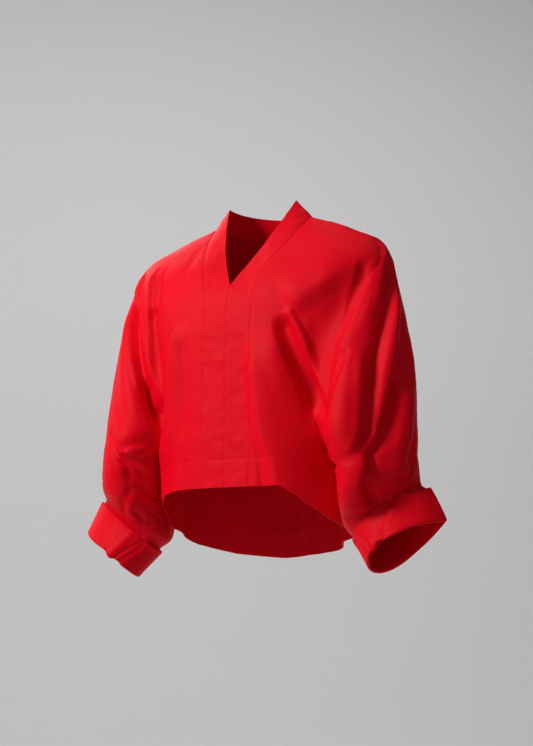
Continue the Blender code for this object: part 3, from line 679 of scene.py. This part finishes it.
@dataclass
class ClothWorker:
    """Turns the skin's pieces into closed thin walls of cloth, with drawn-in seams and turned-up hems."""

    skin: Skin
    cloth: float = 0.0008
    gap: float = 0.0003
    seam_dip: float = 0.0011
    seam_reach: float = 0.0030
    pucker: float = 0.0007
    pucker_reach: float = 0.012
    pucker_length: float = 0.011
    hem_top: float = -0.44
    hem_allowance: float = 0.047
    stitch_dip: float = 0.0007
    stitch_reach: float = 0.0022
    crinkle: float = 0.0009
    crinkle_length: float = 0.016
    undulation: float = 0.0011
    undulation_length: float = 0.055
    sharp_angle: float = 60.0

    def __post_init__(self) -> None:
        """Start without seams."""
        self.boundaries: dict[str, list[tuple[int, int]]] = {}
        self.shared: set[frozenset] = set()
        self.hem_distance = np.full(0, np.inf)

    def find_seams(self, pieces: list[str]) -> None:
        """Find every piece's boundary, and which stretches of it two pieces share.

        Args:
            pieces: The names of all the pieces.
        """
        counts: dict[frozenset, int] = {}
        self.piece_cells = {name: self.skin.cells(name) for name in pieces}
        for name, (cells, _) in self.piece_cells.items():
            edges = {(cell[i - 1], cell[i]) for cell in cells for i in range(len(cell))}
            open_edges = [edge for edge in edges if (edge[1], edge[0]) not in edges]
            self.boundaries[name] = sorted(open_edges)
            for edge in open_edges:
                counts[frozenset(edge)] = counts.get(frozenset(edge), 0) + 1
        self.shared = {edge for edge, count in counts.items() if count > 1}

    def distances_to(self, numbers: list[int]) -> tuple[np.ndarray, np.ndarray]:
        """Return every point's distance to the nearest of some points, and that point's number."""
        tree = KDTree(len(numbers))
        for number in numbers:
            tree.insert(self.skin.points[number], number)
        tree.balance()
        found = [tree.find(point) for point in self.skin.points]
        return np.array([hit[2] for hit in found]), np.array([hit[1] for hit in found])

    def free_edge(self, pieces: list[str]) -> list[int]:
        """Return the points on the open edges of some pieces, apart from their seams."""
        numbers = set()
        for name in pieces:
            for edge in self.boundaries[name]:
                if frozenset(edge) not in self.shared:
                    numbers.update(edge)
        return sorted(numbers)

    def noise(self, points: np.ndarray, length: float, seed: float) -> np.ndarray:
        """Return smooth noise from -1 to 1 at points, with bumps of about a given length."""
        shift = Vector((seed, 2 * seed, 3 * seed))
        return np.array([noise.noise(Vector(point) / length + shift) for point in points])

    def relief(self, hemmed: list[str], interfaced: list[str]) -> np.ndarray:
        """Work out the small relief of seams, hem stitches and crumpled cloth.

        Args:
            hemmed: The pieces whose open edges below the underarm have a turned-up hem.
            interfaced: The pieces with a stiffer layer inside, which crinkle finely.

        Returns:
            How far each point moves out.
        """
        seam_points = sorted({number for edge in self.shared for number in edge})
        distance, nearest = self.distances_to(seam_points)
        fade = np.exp(-((distance / self.seam_reach) ** 2))
        ripple = self.noise(self.skin.points[nearest], self.pucker_length, 3.0)
        moves = -self.seam_dip * fade * (0.75 + 0.5 * ripple)
        moves += self.pucker * ripple * np.exp(-distance / self.pucker_reach)
        edge = [number for number in self.free_edge(hemmed) if self.skin.points[number, 2] < self.hem_top]
        self.hem_distance, nearest = self.distances_to(edge)
        stitched = np.exp(-(((self.hem_distance - self.hem_allowance) / self.stitch_reach) ** 2))
        ripple = self.noise(self.skin.points[nearest], self.pucker_length, 7.0)
        moves -= self.stitch_dip * stitched * (0.7 + 0.6 * ripple)
        moves += self.undulation * self.noise(self.skin.points, self.undulation_length, 5.0)
        crinkled = sorted({number for name in interfaced
                           for cell in self.piece_cells[name][0] for number in cell})
        moves[crinkled] += self.crinkle * self.noise(self.skin.points[crinkled], self.crinkle_length, 9.0)
        return moves

    def seam_shifts(self, name: str) -> dict[int, np.ndarray]:
        """Return how far each seam point of a piece moves into it, for half the gap at the seam."""
        inward: dict[int, list[np.ndarray]] = {}
        for start, end in self.boundaries[name]:
            if frozenset((start, end)) not in self.shared:
                continue
            along = self.skin.points[end] - self.skin.points[start]
            for number in (start, end):
                left = np.cross(self.skin.normals[number], along)
                inward.setdefault(number, []).append(left / max(np.linalg.norm(left), 1e-12))
        shifts = {}
        for number, lefts in inward.items():
            scale = 1.0 if len(lefts) == 1 else max(1 + float(lefts[0] @ lefts[1]), 0.5)
            shifts[number] = sum(lefts) / scale * self.gap / 2
        return shifts

    def wall(self, name: str, layers: float, hemmed: bool) -> bpy.types.Object:
        """Make a piece's closed wall.

        Args:
            name: The piece's name.
            layers: The number of layers of cloth in it.
            hemmed: Whether its open edge is turned up inside.

        Returns:
            The piece's object.
        """
        cells, places = self.piece_cells[name]
        shifts = self.seam_shifts(name)
        numbers = sorted({number for cell in cells for number in cell})
        index = {number: k for k, number in enumerate(numbers)}
        outer = np.array([self.skin.points[number] + shifts.get(number, 0.0) for number in numbers])
        thickness = np.full(len(numbers), self.cloth * layers)
        if hemmed:
            under = self.hem_distance[numbers] < self.hem_allowance
            thickness[under] += self.cloth
        inner = outer - self.skin.normals[numbers] * thickness[:, None]
        count = len(numbers)
        front = [tuple(index[number] for number in cell) for cell in cells]
        back = [tuple(count + k for k in reversed(cell)) for cell in front]
        place_of = {k: place for cell, ring in zip(front, places) for k, place in zip(cell, ring)}
        rim = [(index[end], index[start], count + index[start], count + index[end])
               for start, end in self.boundaries[name]]
        mesh = bpy.data.meshes.new(f"{name}_cloth")
        mesh.from_pydata(np.concatenate([outer, inner]).tolist(), [], front + back + rim)
        layer = mesh.uv_layers.new(name="cloth")
        corner_places = [place for ring in places for place in ring]
        corner_places += [place for ring in places for place in reversed(ring)]
        corner_places += [place_of[k % count] for face in rim for k in face]
        layer.data.foreach_set("uv", np.array(corner_places, dtype=np.float32).reshape(-1))
        mesh.shade_smooth()
        mesh.set_sharp_from_angle(angle=math.radians(self.sharp_angle))
        mesh.update()
        return new_object(f"{name}_cloth", mesh)

    def area(self, name: str) -> float:
        """Return the area of a piece's cloth, in square metres."""
        total = 0.0
        for cell in self.piece_cells[name][0]:
            corners = self.skin.points[list(cell)]
            spokes = corners - corners[0]
            total += np.linalg.norm(np.cross(spokes[1:-1], spokes[2:]), axis=1).sum() / 2
        return float(total)


def shares(cells: int, fine_start: bool = False, fine_end: bool = False) -> np.ndarray:
    """Return shares from 0 to 1, with two more inside the first or last cell where a seam draws the cloth in.

    Args:
        cells: The number of even cells.
        fine_start: Whether the first cell is divided.
        fine_end: Whether the last cell is divided.

    Returns:
        The shares, in order.
    """
    values = list(np.arange(cells + 1) / cells)
    inside = (0.22 / cells, 0.52 / cells)
    if fine_start:
        values += inside
    if fine_end:
        values += [1 - value for value in inside]
    return np.array(sorted(values))


@dataclass
class CuttingTable:
    """The rows and columns of points that all the pieces are cut from."""

    form: BlouseForm
    torso_cells: int = 66
    arm_cells: int = 66
    hem_cells: int = 44
    sleeve_cells: int = 26
    sleeve_band_cells: int = 22
    cuff_cells: int = 8
    band_cells: int = 14
    section_rows: tuple[int, ...] = (6, 5, 5, 17, 17, 18, 21, 25, 25, 22, 18, 11)

    def __post_init__(self) -> None:
        """Work out the girths of the columns and the places of the rows."""
        torso = shares(self.torso_cells, fine_start=True, fine_end=True)
        arm = 1 + shares(self.arm_cells, fine_end=True)
        self.front = np.concatenate([torso, arm[1:]])
        self.back = CENTRE_BACK - self.front[::-1]
        self.split_front = len(torso) - 1
        self.split_back = len(arm) - 1
        rows = [index + np.arange(count) / count for index, count in enumerate(self.section_rows)]
        self.places = np.concatenate(rows + [np.array([float(UNDERARM)])])
        self.hem_shares = np.linspace(0, 1, self.hem_cells + 1)
        self.round_sleeve = np.concatenate([self.front[self.split_front:], self.back[1:self.split_back + 1]])


@dataclass
class Panel:
    """A front or a back, cut in one with the upper half of its sleeve."""

    table: CuttingTable
    side: Side
    back: bool

    @property
    def name(self) -> str:
        """The panel's name."""
        return f"{'back' if self.back else 'front'}_{self.side.word}"

    def cut(self, skin: Skin) -> None:
        """Add the panel's upper part, body and sleeve to the skin."""
        table, form = self.table, self.table.form
        girths = table.back if self.back else table.front
        split = table.split_back if self.back else table.split_front
        upper = form.upper(girths[None, :], table.places[:, None])
        across, down = skin.add(self.name, self.side, upper)
        body_columns = slice(split, None) if self.back else slice(0, split + 1)
        sleeve_columns = slice(0, split + 1) if self.back else slice(split, None)
        body = form.body(girths[None, body_columns], table.hem_shares[:, None], self.side)
        body[0] = upper[-1, body_columns]
        skin.add(self.name, self.side, body, (across[body_columns], down[body_columns]))
        seam = form.sleeve_seam(girths[sleeve_columns], self.side)
        places = shares(table.sleeve_cells, fine_end=True)[:, None] * seam
        sleeve = form.ring(girths[None, sleeve_columns], places, 0.0)
        sleeve[0] = upper[-1, sleeve_columns]
        skin.add(self.name, self.side, sleeve, (across[sleeve_columns], down[sleeve_columns]))


@dataclass
class Band:
    """The band that edges the back neck, the V and the centre front."""

    table: CuttingTable
    side: Side

    @property
    def name(self) -> str:
        """The band's name."""
        return f"band_{self.side.word}"

    def cut(self, skin: Skin) -> None:
        """Add the band to the skin, from the centre back over the shoulder and down the front."""
        table, form = self.table, self.table.form
        neck_end = next(index for index, section in enumerate(SECTIONS) if section.neck == 0)
        behind = table.places[(table.places > 0) & (table.places <= neck_end)][::-1]
        share = shares(table.band_cells, fine_start=True, fine_end=True)[None, :, None]
        hem_shares = table.hem_shares[1:]
        hem_seam = form.body(np.zeros(len(hem_shares)), hem_shares, self.side)
        fronts = form.sections.read(form.place_of(hem_seam[:, 2]))["front"]
        hem_edge = np.stack([np.zeros(len(hem_shares)), fronts, hem_seam[:, 2]], axis=-1)
        edges = np.concatenate([form.band_edge_back(behind), form.band_edge_front(table.places), hem_edge])
        seams = np.concatenate([form.upper(4.0, behind), form.upper(0.0, table.places), hem_seam])
        rows = edges[:, None] * (1 - share) + seams[:, None] * share
        skin.add(self.name, self.side, rows)


@dataclass(frozen=True)
class CuffRow:
    """A line round the cuff's fold: its place on the sleeve, and its distance out from the inner layer."""

    place: float
    off: float


@dataclass
class SleeveEnd:
    """The lower stretch of the sleeve, and the cuff that is turned back over it."""

    table: CuttingTable
    side: Side
    cuff_rows: tuple[CuffRow, ...] = (
        CuffRow(4.15, 0.0), CuffRow(4.55, 0.0), CuffRow(4.92, 0.0), CuffRow(4.98, 0.0006),
        CuffRow(4.98, 0.0026), CuffRow(4.92, 0.0034), CuffRow(4.55, 0.0036), CuffRow(4.0, 0.0045),
    )

    @property
    def names(self) -> tuple[str, str]:
        """The names of the sleeve's lower stretch and of the cuff."""
        return f"sleeve_band_{self.side.word}", f"cuff_{self.side.word}"

    def cut(self, skin: Skin) -> None:
        """Add the sleeve's lower stretch and the cuff to the skin."""
        table, form = self.table, self.table.form
        seam = form.sleeve_seam(table.round_sleeve, self.side)
        places = seam + (CUFF_TUCK - seam) * shares(table.sleeve_band_cells, fine_start=True)[:, None]
        tucked = np.full((3, len(seam)), np.linspace(CUFF_TUCK, CUFF_SEAM, 4)[1:, None])
        lower = form.ring(table.round_sleeve[None, :], np.concatenate([places, tucked]), 0.0)
        skin.add(self.names[0], self.side, lower)
        rows = SmoothTable(self.cuff_rows).read(np.linspace(0, len(self.cuff_rows) - 1,
                                                            (len(self.cuff_rows) - 1) * table.cuff_cells + 1))
        cuff = form.ring(table.round_sleeve[None, :], rows["place"][:, None], rows["off"][:, None])
        skin.add(self.names[1], self.side, cuff)


def feed(tree: bpy.types.NodeTree, node: bpy.types.Node, inputs: dict) -> None:
    """Link or set some of a node's inputs.

    Args:
        tree: The node's tree.
        node: The node.
        inputs: The socket to link to each input or the value to give it, by the input's name or number.
    """
    for name, source in inputs.items():
        if isinstance(source, bpy.types.NodeSocket):
            tree.links.new(source, node.inputs[name])
        else:
            node.inputs[name].default_value = source


def add_node(tree: bpy.types.NodeTree, kind: str, inputs: dict | None = None,
             **values: object) -> bpy.types.Node:
    """Add a node to a tree.

    Args:
        tree: The tree.
        kind: The node's type, without the words ShaderNode.
        inputs: The sockets or values that feed its inputs, by name or number.
        **values: Attributes of the node, such as operation or data_type.

    Returns:
        The node.
    """
    node = tree.nodes.new(f"ShaderNode{kind}")
    for name, value in values.items():
        setattr(node, name, value)
    feed(tree, node, inputs or {})
    return node


def calculate(tree: bpy.types.NodeTree, operation: str, *terms: object) -> bpy.types.NodeSocket:
    """Return the result of a calculation with sockets or numbers."""
    return add_node(tree, "Math", dict(enumerate(terms)), operation=operation).outputs[0]


def new_object(name: str, data: bpy.types.ID) -> bpy.types.Object:
    """Return a new object in the scene."""
    made = bpy.data.objects.new(name, data)
    bpy.context.scene.collection.objects.link(made)
    return made


@dataclass
class EffectGroup:
    """A shader node group for an effect that several finishes use."""

    name: str
    inputs: dict[str, float]
    output: str

    def start(self) -> tuple:
        """Return a new node group, the sockets that its inputs arrive at, and its output node."""
        tree = bpy.data.node_groups.new(self.name, "ShaderNodeTree")
        tree.interface.new_socket("Vector", in_out="INPUT", socket_type="NodeSocketVector")
        for name, value in self.inputs.items():
            socket = tree.interface.new_socket(name, in_out="INPUT", socket_type="NodeSocketFloat")
            socket.default_value = value
        tree.interface.new_socket(self.output, in_out="OUTPUT", socket_type="NodeSocketFloat")
        return tree, tree.nodes.new("NodeGroupInput").outputs, tree.nodes.new("NodeGroupOutput")


class Effects:
    """The node groups of the cotton: its weave, its crumpled surface and its uneven dye."""

    def __init__(self) -> None:
        """Build the groups."""
        self.weave = self.build_weave()
        self.crumple = self.build_crumple()
        self.dye = self.build_dye()

    @staticmethod
    def build_weave() -> bpy.types.NodeTree:
        """Build the plain weave, threads over and under each other with uneven slubs, as a height from 0."""
        tree, given, result = EffectGroup("PlainWeave", {"Threads": 2000.0, "Slub": 0.25}, "Height").start()
        split = add_node(tree, "SeparateXYZ", {0: given["Vector"]})
        waves = []
        for axis in ("X", "Y"):
            count = calculate(tree, "MULTIPLY", split.outputs[axis], given["Threads"])
            waves.append(calculate(tree, "SINE", calculate(tree, "MULTIPLY", count, math.pi)))
        size = calculate(tree, "ABSOLUTE", calculate(tree, "MULTIPLY", *waves))
        slub = add_node(tree, "TexNoise", {"Vector": given["Vector"], "Scale": 420.0, "Detail": 2.0})
        uneven = calculate(tree, "MULTIPLY", slub.outputs["Fac"], given["Slub"])
        feed(tree, result, {"Height": calculate(tree, "ADD", size, uneven)})
        return tree

    @staticmethod
    def build_crumple() -> bpy.types.NodeTree:
        """Build the shallow crumples of pressed cotton that has been worn, as a height from 0 to 1."""
        tree, given, result = EffectGroup("Crumple", {"Scale": 22.0, "Sharpness": 0.35}, "Height").start()
        broad = add_node(tree, "TexNoise", {"Vector": given["Vector"], "Scale": given["Scale"],
                                            "Detail": 3.0, "Roughness": 0.55, "Distortion": 0.6})
        fold = calculate(tree, "ABSOLUTE", calculate(tree, "SUBTRACT", broad.outputs["Fac"], 0.5))
        mixed = add_node(tree, "Mix", {"Factor": given["Sharpness"], "A": broad.outputs["Fac"], "B": fold},
                         data_type="FLOAT")
        feed(tree, result, {"Height": mixed.outputs["Result"]})
        return tree

    @staticmethod
    def build_dye() -> bpy.types.NodeTree:
        """Build the slight unevenness of dyed cloth, as a mask from 0 to 1."""
        tree, given, result = EffectGroup("UnevenDye", {"Scale": 9.0, "Grain": 0.35}, "Mask").start()
        cloud = add_node(tree, "TexNoise", {"Vector": given["Vector"], "Scale": given["Scale"],
                                            "Detail": 2.0})
        grain = add_node(tree, "TexNoise", {"Vector": given["Vector"], "Scale": 650.0})
        mixed = add_node(tree, "Mix", {"Factor": given["Grain"], "A": cloud.outputs["Fac"],
                                       "B": grain.outputs["Fac"]}, data_type="FLOAT")
        feed(tree, result, {"Mask": mixed.outputs["Result"]})
        return tree


@dataclass(frozen=True)
class CottonFinish:
    """Crisp dyed cotton. Colours are linear, and lengths are metres."""

    name: str
    colour: tuple[float, float, float] = (0.80, 0.0, 0.011)
    worn_colour: tuple[float, float, float] = (0.72, 0.0, 0.009)
    roughness: float = 0.5
    specular: float = 0.07
    threads: float = 1800.0
    slub: float = 0.5
    weave_height: float = 0.00006
    crumple_scale: float = 24.0
    crumple_sharpness: float = 0.4
    crumple_height: float = 0.0010
    dye_scale: float = 9.0
    dye_grain: float = 0.3
    dye_range: tuple[float, float] = (0.30, 0.62)

    def build(self, effects: Effects) -> bpy.types.Material:
        """Return the finish's material.

        Args:
            effects: The node groups that it places.

        Returns:
            The material.
        """
        material = bpy.data.materials.new(self.name)
        material.use_nodes = True
        tree = material.node_tree
        cloth = add_node(tree, "UVMap", uv_map="cloth").outputs["UV"]
        place = add_node(tree, "TexCoord").outputs["Object"]
        dye = add_node(tree, "Group", node_tree=effects.dye)
        feed(tree, dye, {"Vector": place, "Scale": self.dye_scale, "Grain": self.dye_grain})
        weave = add_node(tree, "Group", node_tree=effects.weave)
        feed(tree, weave, {"Vector": cloth, "Threads": self.threads, "Slub": self.slub})
        crumple = add_node(tree, "Group", node_tree=effects.crumple)
        feed(tree, crumple, {"Vector": place, "Scale": self.crumple_scale,
                             "Sharpness": self.crumple_sharpness})
        low, high = self.dye_range
        share = add_node(tree, "MapRange", {"Value": dye.outputs["Mask"], "From Min": low, "From Max": high})
        tint = add_node(tree, "Mix", {"Factor": share.outputs["Result"], "A": (*self.worn_colour, 1.0),
                                      "B": (*self.colour, 1.0)}, data_type="RGBA")
        soft = add_node(tree, "Bump", {"Distance": self.crumple_height, "Height": crumple.outputs["Height"]})
        fine = add_node(tree, "Bump", {"Distance": self.weave_height, "Height": weave.outputs["Height"],
                                       "Normal": soft.outputs["Normal"]})
        shader = tree.nodes["Principled BSDF"]
        shader.inputs["Specular IOR Level"].default_value = self.specular
        shader.inputs["Roughness"].default_value = self.roughness
        feed(tree, shader, {"Base Color": tint.outputs["Result"], "Normal": fine.outputs["Normal"]})
        return material


@dataclass(frozen=True)
class SoftLight:
    """A square light. Its place and aim are metres away from the camera, to its right and up."""

    name: str
    place: tuple[float, float, float]
    aim: tuple[float, float, float]
    size: float
    power: float


# The key comes from the camera's left, with a weak fill and a back light. The last two light the room.
LIGHTS = (
    SoftLight("key_light", (-1.15, -2.1, 1.35), (0.0, 0.0, 0.0), 0.8, 70.0),
    SoftLight("fill_light", (-2.4, 1.0, -0.1), (0.0, 0.0, 0.0), 2.2, 2.0),
    SoftLight("back_light", (2.0, -1.0, 1.6), (0.0, 0.0, 0.0), 1.5, 16.0),
    SoftLight("wall_light", (1.6, 0.0, 2.2), (4.4, -1.6, 0.0), 2.2, 108.0),
    SoftLight("floor_light", (-0.4, 0.0, 3.0), (-1.2, 0.0, -0.8), 3.0, 20.0),
)


@dataclass
class Studio:
    """A round studio with a pale floor, soft lights and the camera."""

    floor_height: float = -1.40
    floor_radius: float = 3.6
    curve_radius: float = 1.6
    wall_height: float = 4.5
    wall_colour: tuple[float, float, float] = (0.60, 0.595, 0.595)
    azimuth: float = 30.67
    distance: float = 2.833
    aside: float = 0.0072
    camera_height: float = -0.697
    tilt: float = 8.50
    lens: float = 77.38
    sensor: float = 36.0
    blouse_middle: float = -0.30
    air_strength: float = 0.02
    sides: int = 96
    curve_steps: int = 12

    def build(self) -> None:
        """Build the room, the lights and the camera."""
        self.room()
        self.lights()
        self.world()
        self.camera()
        view = bpy.context.scene.view_settings
        view.view_transform = "Standard"
        view.look = "None"

    def room(self) -> bpy.types.Object:
        """Return the floor that curves up into a round wall."""
        profile = [(0.02, 0.0), (1.2, 0.0), (2.4, 0.0), (self.floor_radius, 0.0)]
        for k in range(1, self.curve_steps + 1):
            angle = math.pi / 2 * k / self.curve_steps
            profile.append((self.floor_radius + self.curve_radius * math.sin(angle),
                            self.curve_radius * (1 - math.cos(angle))))
        profile.append((self.floor_radius + self.curve_radius, self.wall_height))
        sides = self.sides
        points, faces = [], []
        for radius, height in profile:
            for k in range(sides):
                angle = 2 * math.pi * k / sides
                level = self.floor_height + height
                points.append((radius * math.cos(angle), radius * math.sin(angle), level))
        for row in range(len(profile) - 1):
            for k in range(sides):
                nearest, following = row * sides + k, row * sides + (k + 1) % sides
                faces.append((nearest, nearest + sides, following + sides, following))
        faces.append(tuple(range(sides)))
        mesh = bpy.data.meshes.new("studio_room")
        mesh.from_pydata(points, [], faces)
        mesh.shade_smooth()
        paint = bpy.data.materials.new("studio_paint")
        paint.use_nodes = True
        feed(paint.node_tree, paint.node_tree.nodes["Principled BSDF"],
             {"Base Color": (*self.wall_colour, 1.0), "Roughness": 0.9, "Specular IOR Level": 0.1})
        mesh.materials.append(paint)
        return new_object("studio_room", mesh)

    def directions(self) -> tuple[Vector, Vector]:
        """Return the level directions away from the camera and to its right."""
        angle = math.radians(self.azimuth)
        away = Vector((-math.sin(angle), math.cos(angle), 0.0))
        right = Vector((math.cos(angle), math.sin(angle), 0.0))
        return away, right

    def lights(self) -> None:
        """Add the soft lights round the blouse."""
        axes = (*self.directions(), Vector((0.0, 0.0, 1.0)))
        middle = Vector((0.0, 0.0, self.blouse_middle))
        for plan in LIGHTS:
            place, aim = (sum((axis * part for axis, part in zip(axes, parts)), middle)
                          for parts in (plan.place, plan.aim))
            lamp = bpy.data.lights.new(plan.name, "AREA")
            lamp.shape = "SQUARE"
            lamp.size = plan.size
            lamp.energy = plan.power
            light = new_object(plan.name, lamp)
            light.location = place
            light.rotation_euler = (aim - place).to_track_quat("-Z", "Y").to_euler()
            light.visible_camera = False

    def world(self) -> None:
        """Light the room with a weak even white."""
        world = bpy.data.worlds.new("studio_air")
        world.use_nodes = True
        background = world.node_tree.nodes["Background"]
        background.inputs["Color"].default_value = (1.0, 0.99, 0.98, 1.0)
        background.inputs["Strength"].default_value = self.air_strength
        bpy.context.scene.world = world

    def camera(self) -> None:
        """Add the camera, which looks up a little from the height of the hips."""
        away, right = self.directions()
        lens = bpy.data.cameras.new("camera")
        lens.lens = self.lens
        lens.sensor_width = self.sensor
        camera = new_object("camera", lens)
        camera.location = -away * self.distance + right * self.aside + Vector((0, 0, self.camera_height))
        rise = math.radians(self.tilt)
        look = away * math.cos(rise) + Vector((0, 0, math.sin(rise)))
        camera.rotation_euler = look.to_track_quat("-Z", "Y").to_euler()
        bpy.context.scene.camera = camera


class Finish(Enum):
    """The finishes that the pieces are dressed in."""

    BODY = "cotton_body"
    BAND = "cotton_band"
    CUFF = "cotton_cuff"


@dataclass(frozen=True)
class Cut:
    """How a kind of piece is cut: its finish, layers and hem, and the flat cloth it takes in metres."""

    finish: Finish
    layers: float
    hemmed: bool
    flat: tuple[float, float]


CUTS = {
    "front": Cut(Finish.BODY, 1.0, True, (0.52, 0.62)),
    "back": Cut(Finish.BODY, 1.0, True, (0.56, 0.70)),
    "band": Cut(Finish.BAND, 1.6, False, (0.060, 0.72)),
    "sleeve_band": Cut(Finish.BODY, 1.0, False, (0.45, 0.120)),
    "cuff": Cut(Finish.CUFF, 1.4, False, (0.39, 0.120)),
}


@dataclass
class Blouse:
    """The whole blouse: it is cut, folded, sewn and dressed here."""

    form: BlouseForm = field(default_factory=BlouseForm)

    def build(self) -> None:
        """Build every piece and dress it."""
        skin = Skin(self.form)
        table = CuttingTable(self.form)
        names: list[str] = []
        for side in Side:
            for back in (False, True):
                panel = Panel(table, side, back)
                panel.cut(skin)
                names.append(panel.name)
            band = Band(table, side)
            band.cut(skin)
            names.append(band.name)
            sleeve_end = SleeveEnd(table, side)
            sleeve_end.cut(skin)
            names += sleeve_end.names
        skin.join()
        LOG.info("cut %d pieces from a skin of %d points", len(names), len(skin.points))
        skin.move_out(FoldSet(self.form).offsets(skin.points, skin.normals))
        worker = ClothWorker(skin)
        worker.find_seams(names)
        hemmed = [name for name in names if name.startswith(("front", "back", "band"))]
        interfaced = [name for name in names if name.startswith("band")]
        skin.move_out(worker.relief(hemmed, interfaced))
        self.dress(worker, names)

    @staticmethod
    def dress(worker: ClothWorker, names: list[str]) -> None:
        """Make every piece's wall, and give it its finish and its place in the frame."""
        effects = Effects()
        finishes = {
            Finish.BODY: CottonFinish("cotton_body").build(effects),
            Finish.BAND: CottonFinish("cotton_band", crumple_height=0.0006).build(effects),
            Finish.CUFF: CottonFinish("cotton_cuff", crumple_height=0.0008).build(effects),
        }
        for name in names:
            cut = CUTS[name.rsplit("_", 1)[0]]
            piece = worker.wall(name, cut.layers, cut.hemmed)
            piece.data.materials.append(finishes[cut.finish])
            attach(piece, "root")
            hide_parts(name)
            LOG.info("%s: %d faces, %.3f square metres", name, len(piece.data.polygons), worker.area(name))


def main() -> None:
    """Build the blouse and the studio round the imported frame."""
    logging.basicConfig(level=logging.INFO, format="%(name)s: %(message)s")
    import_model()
    Blouse().build()
    Studio().build()


if __name__ == "__main__":
    main()
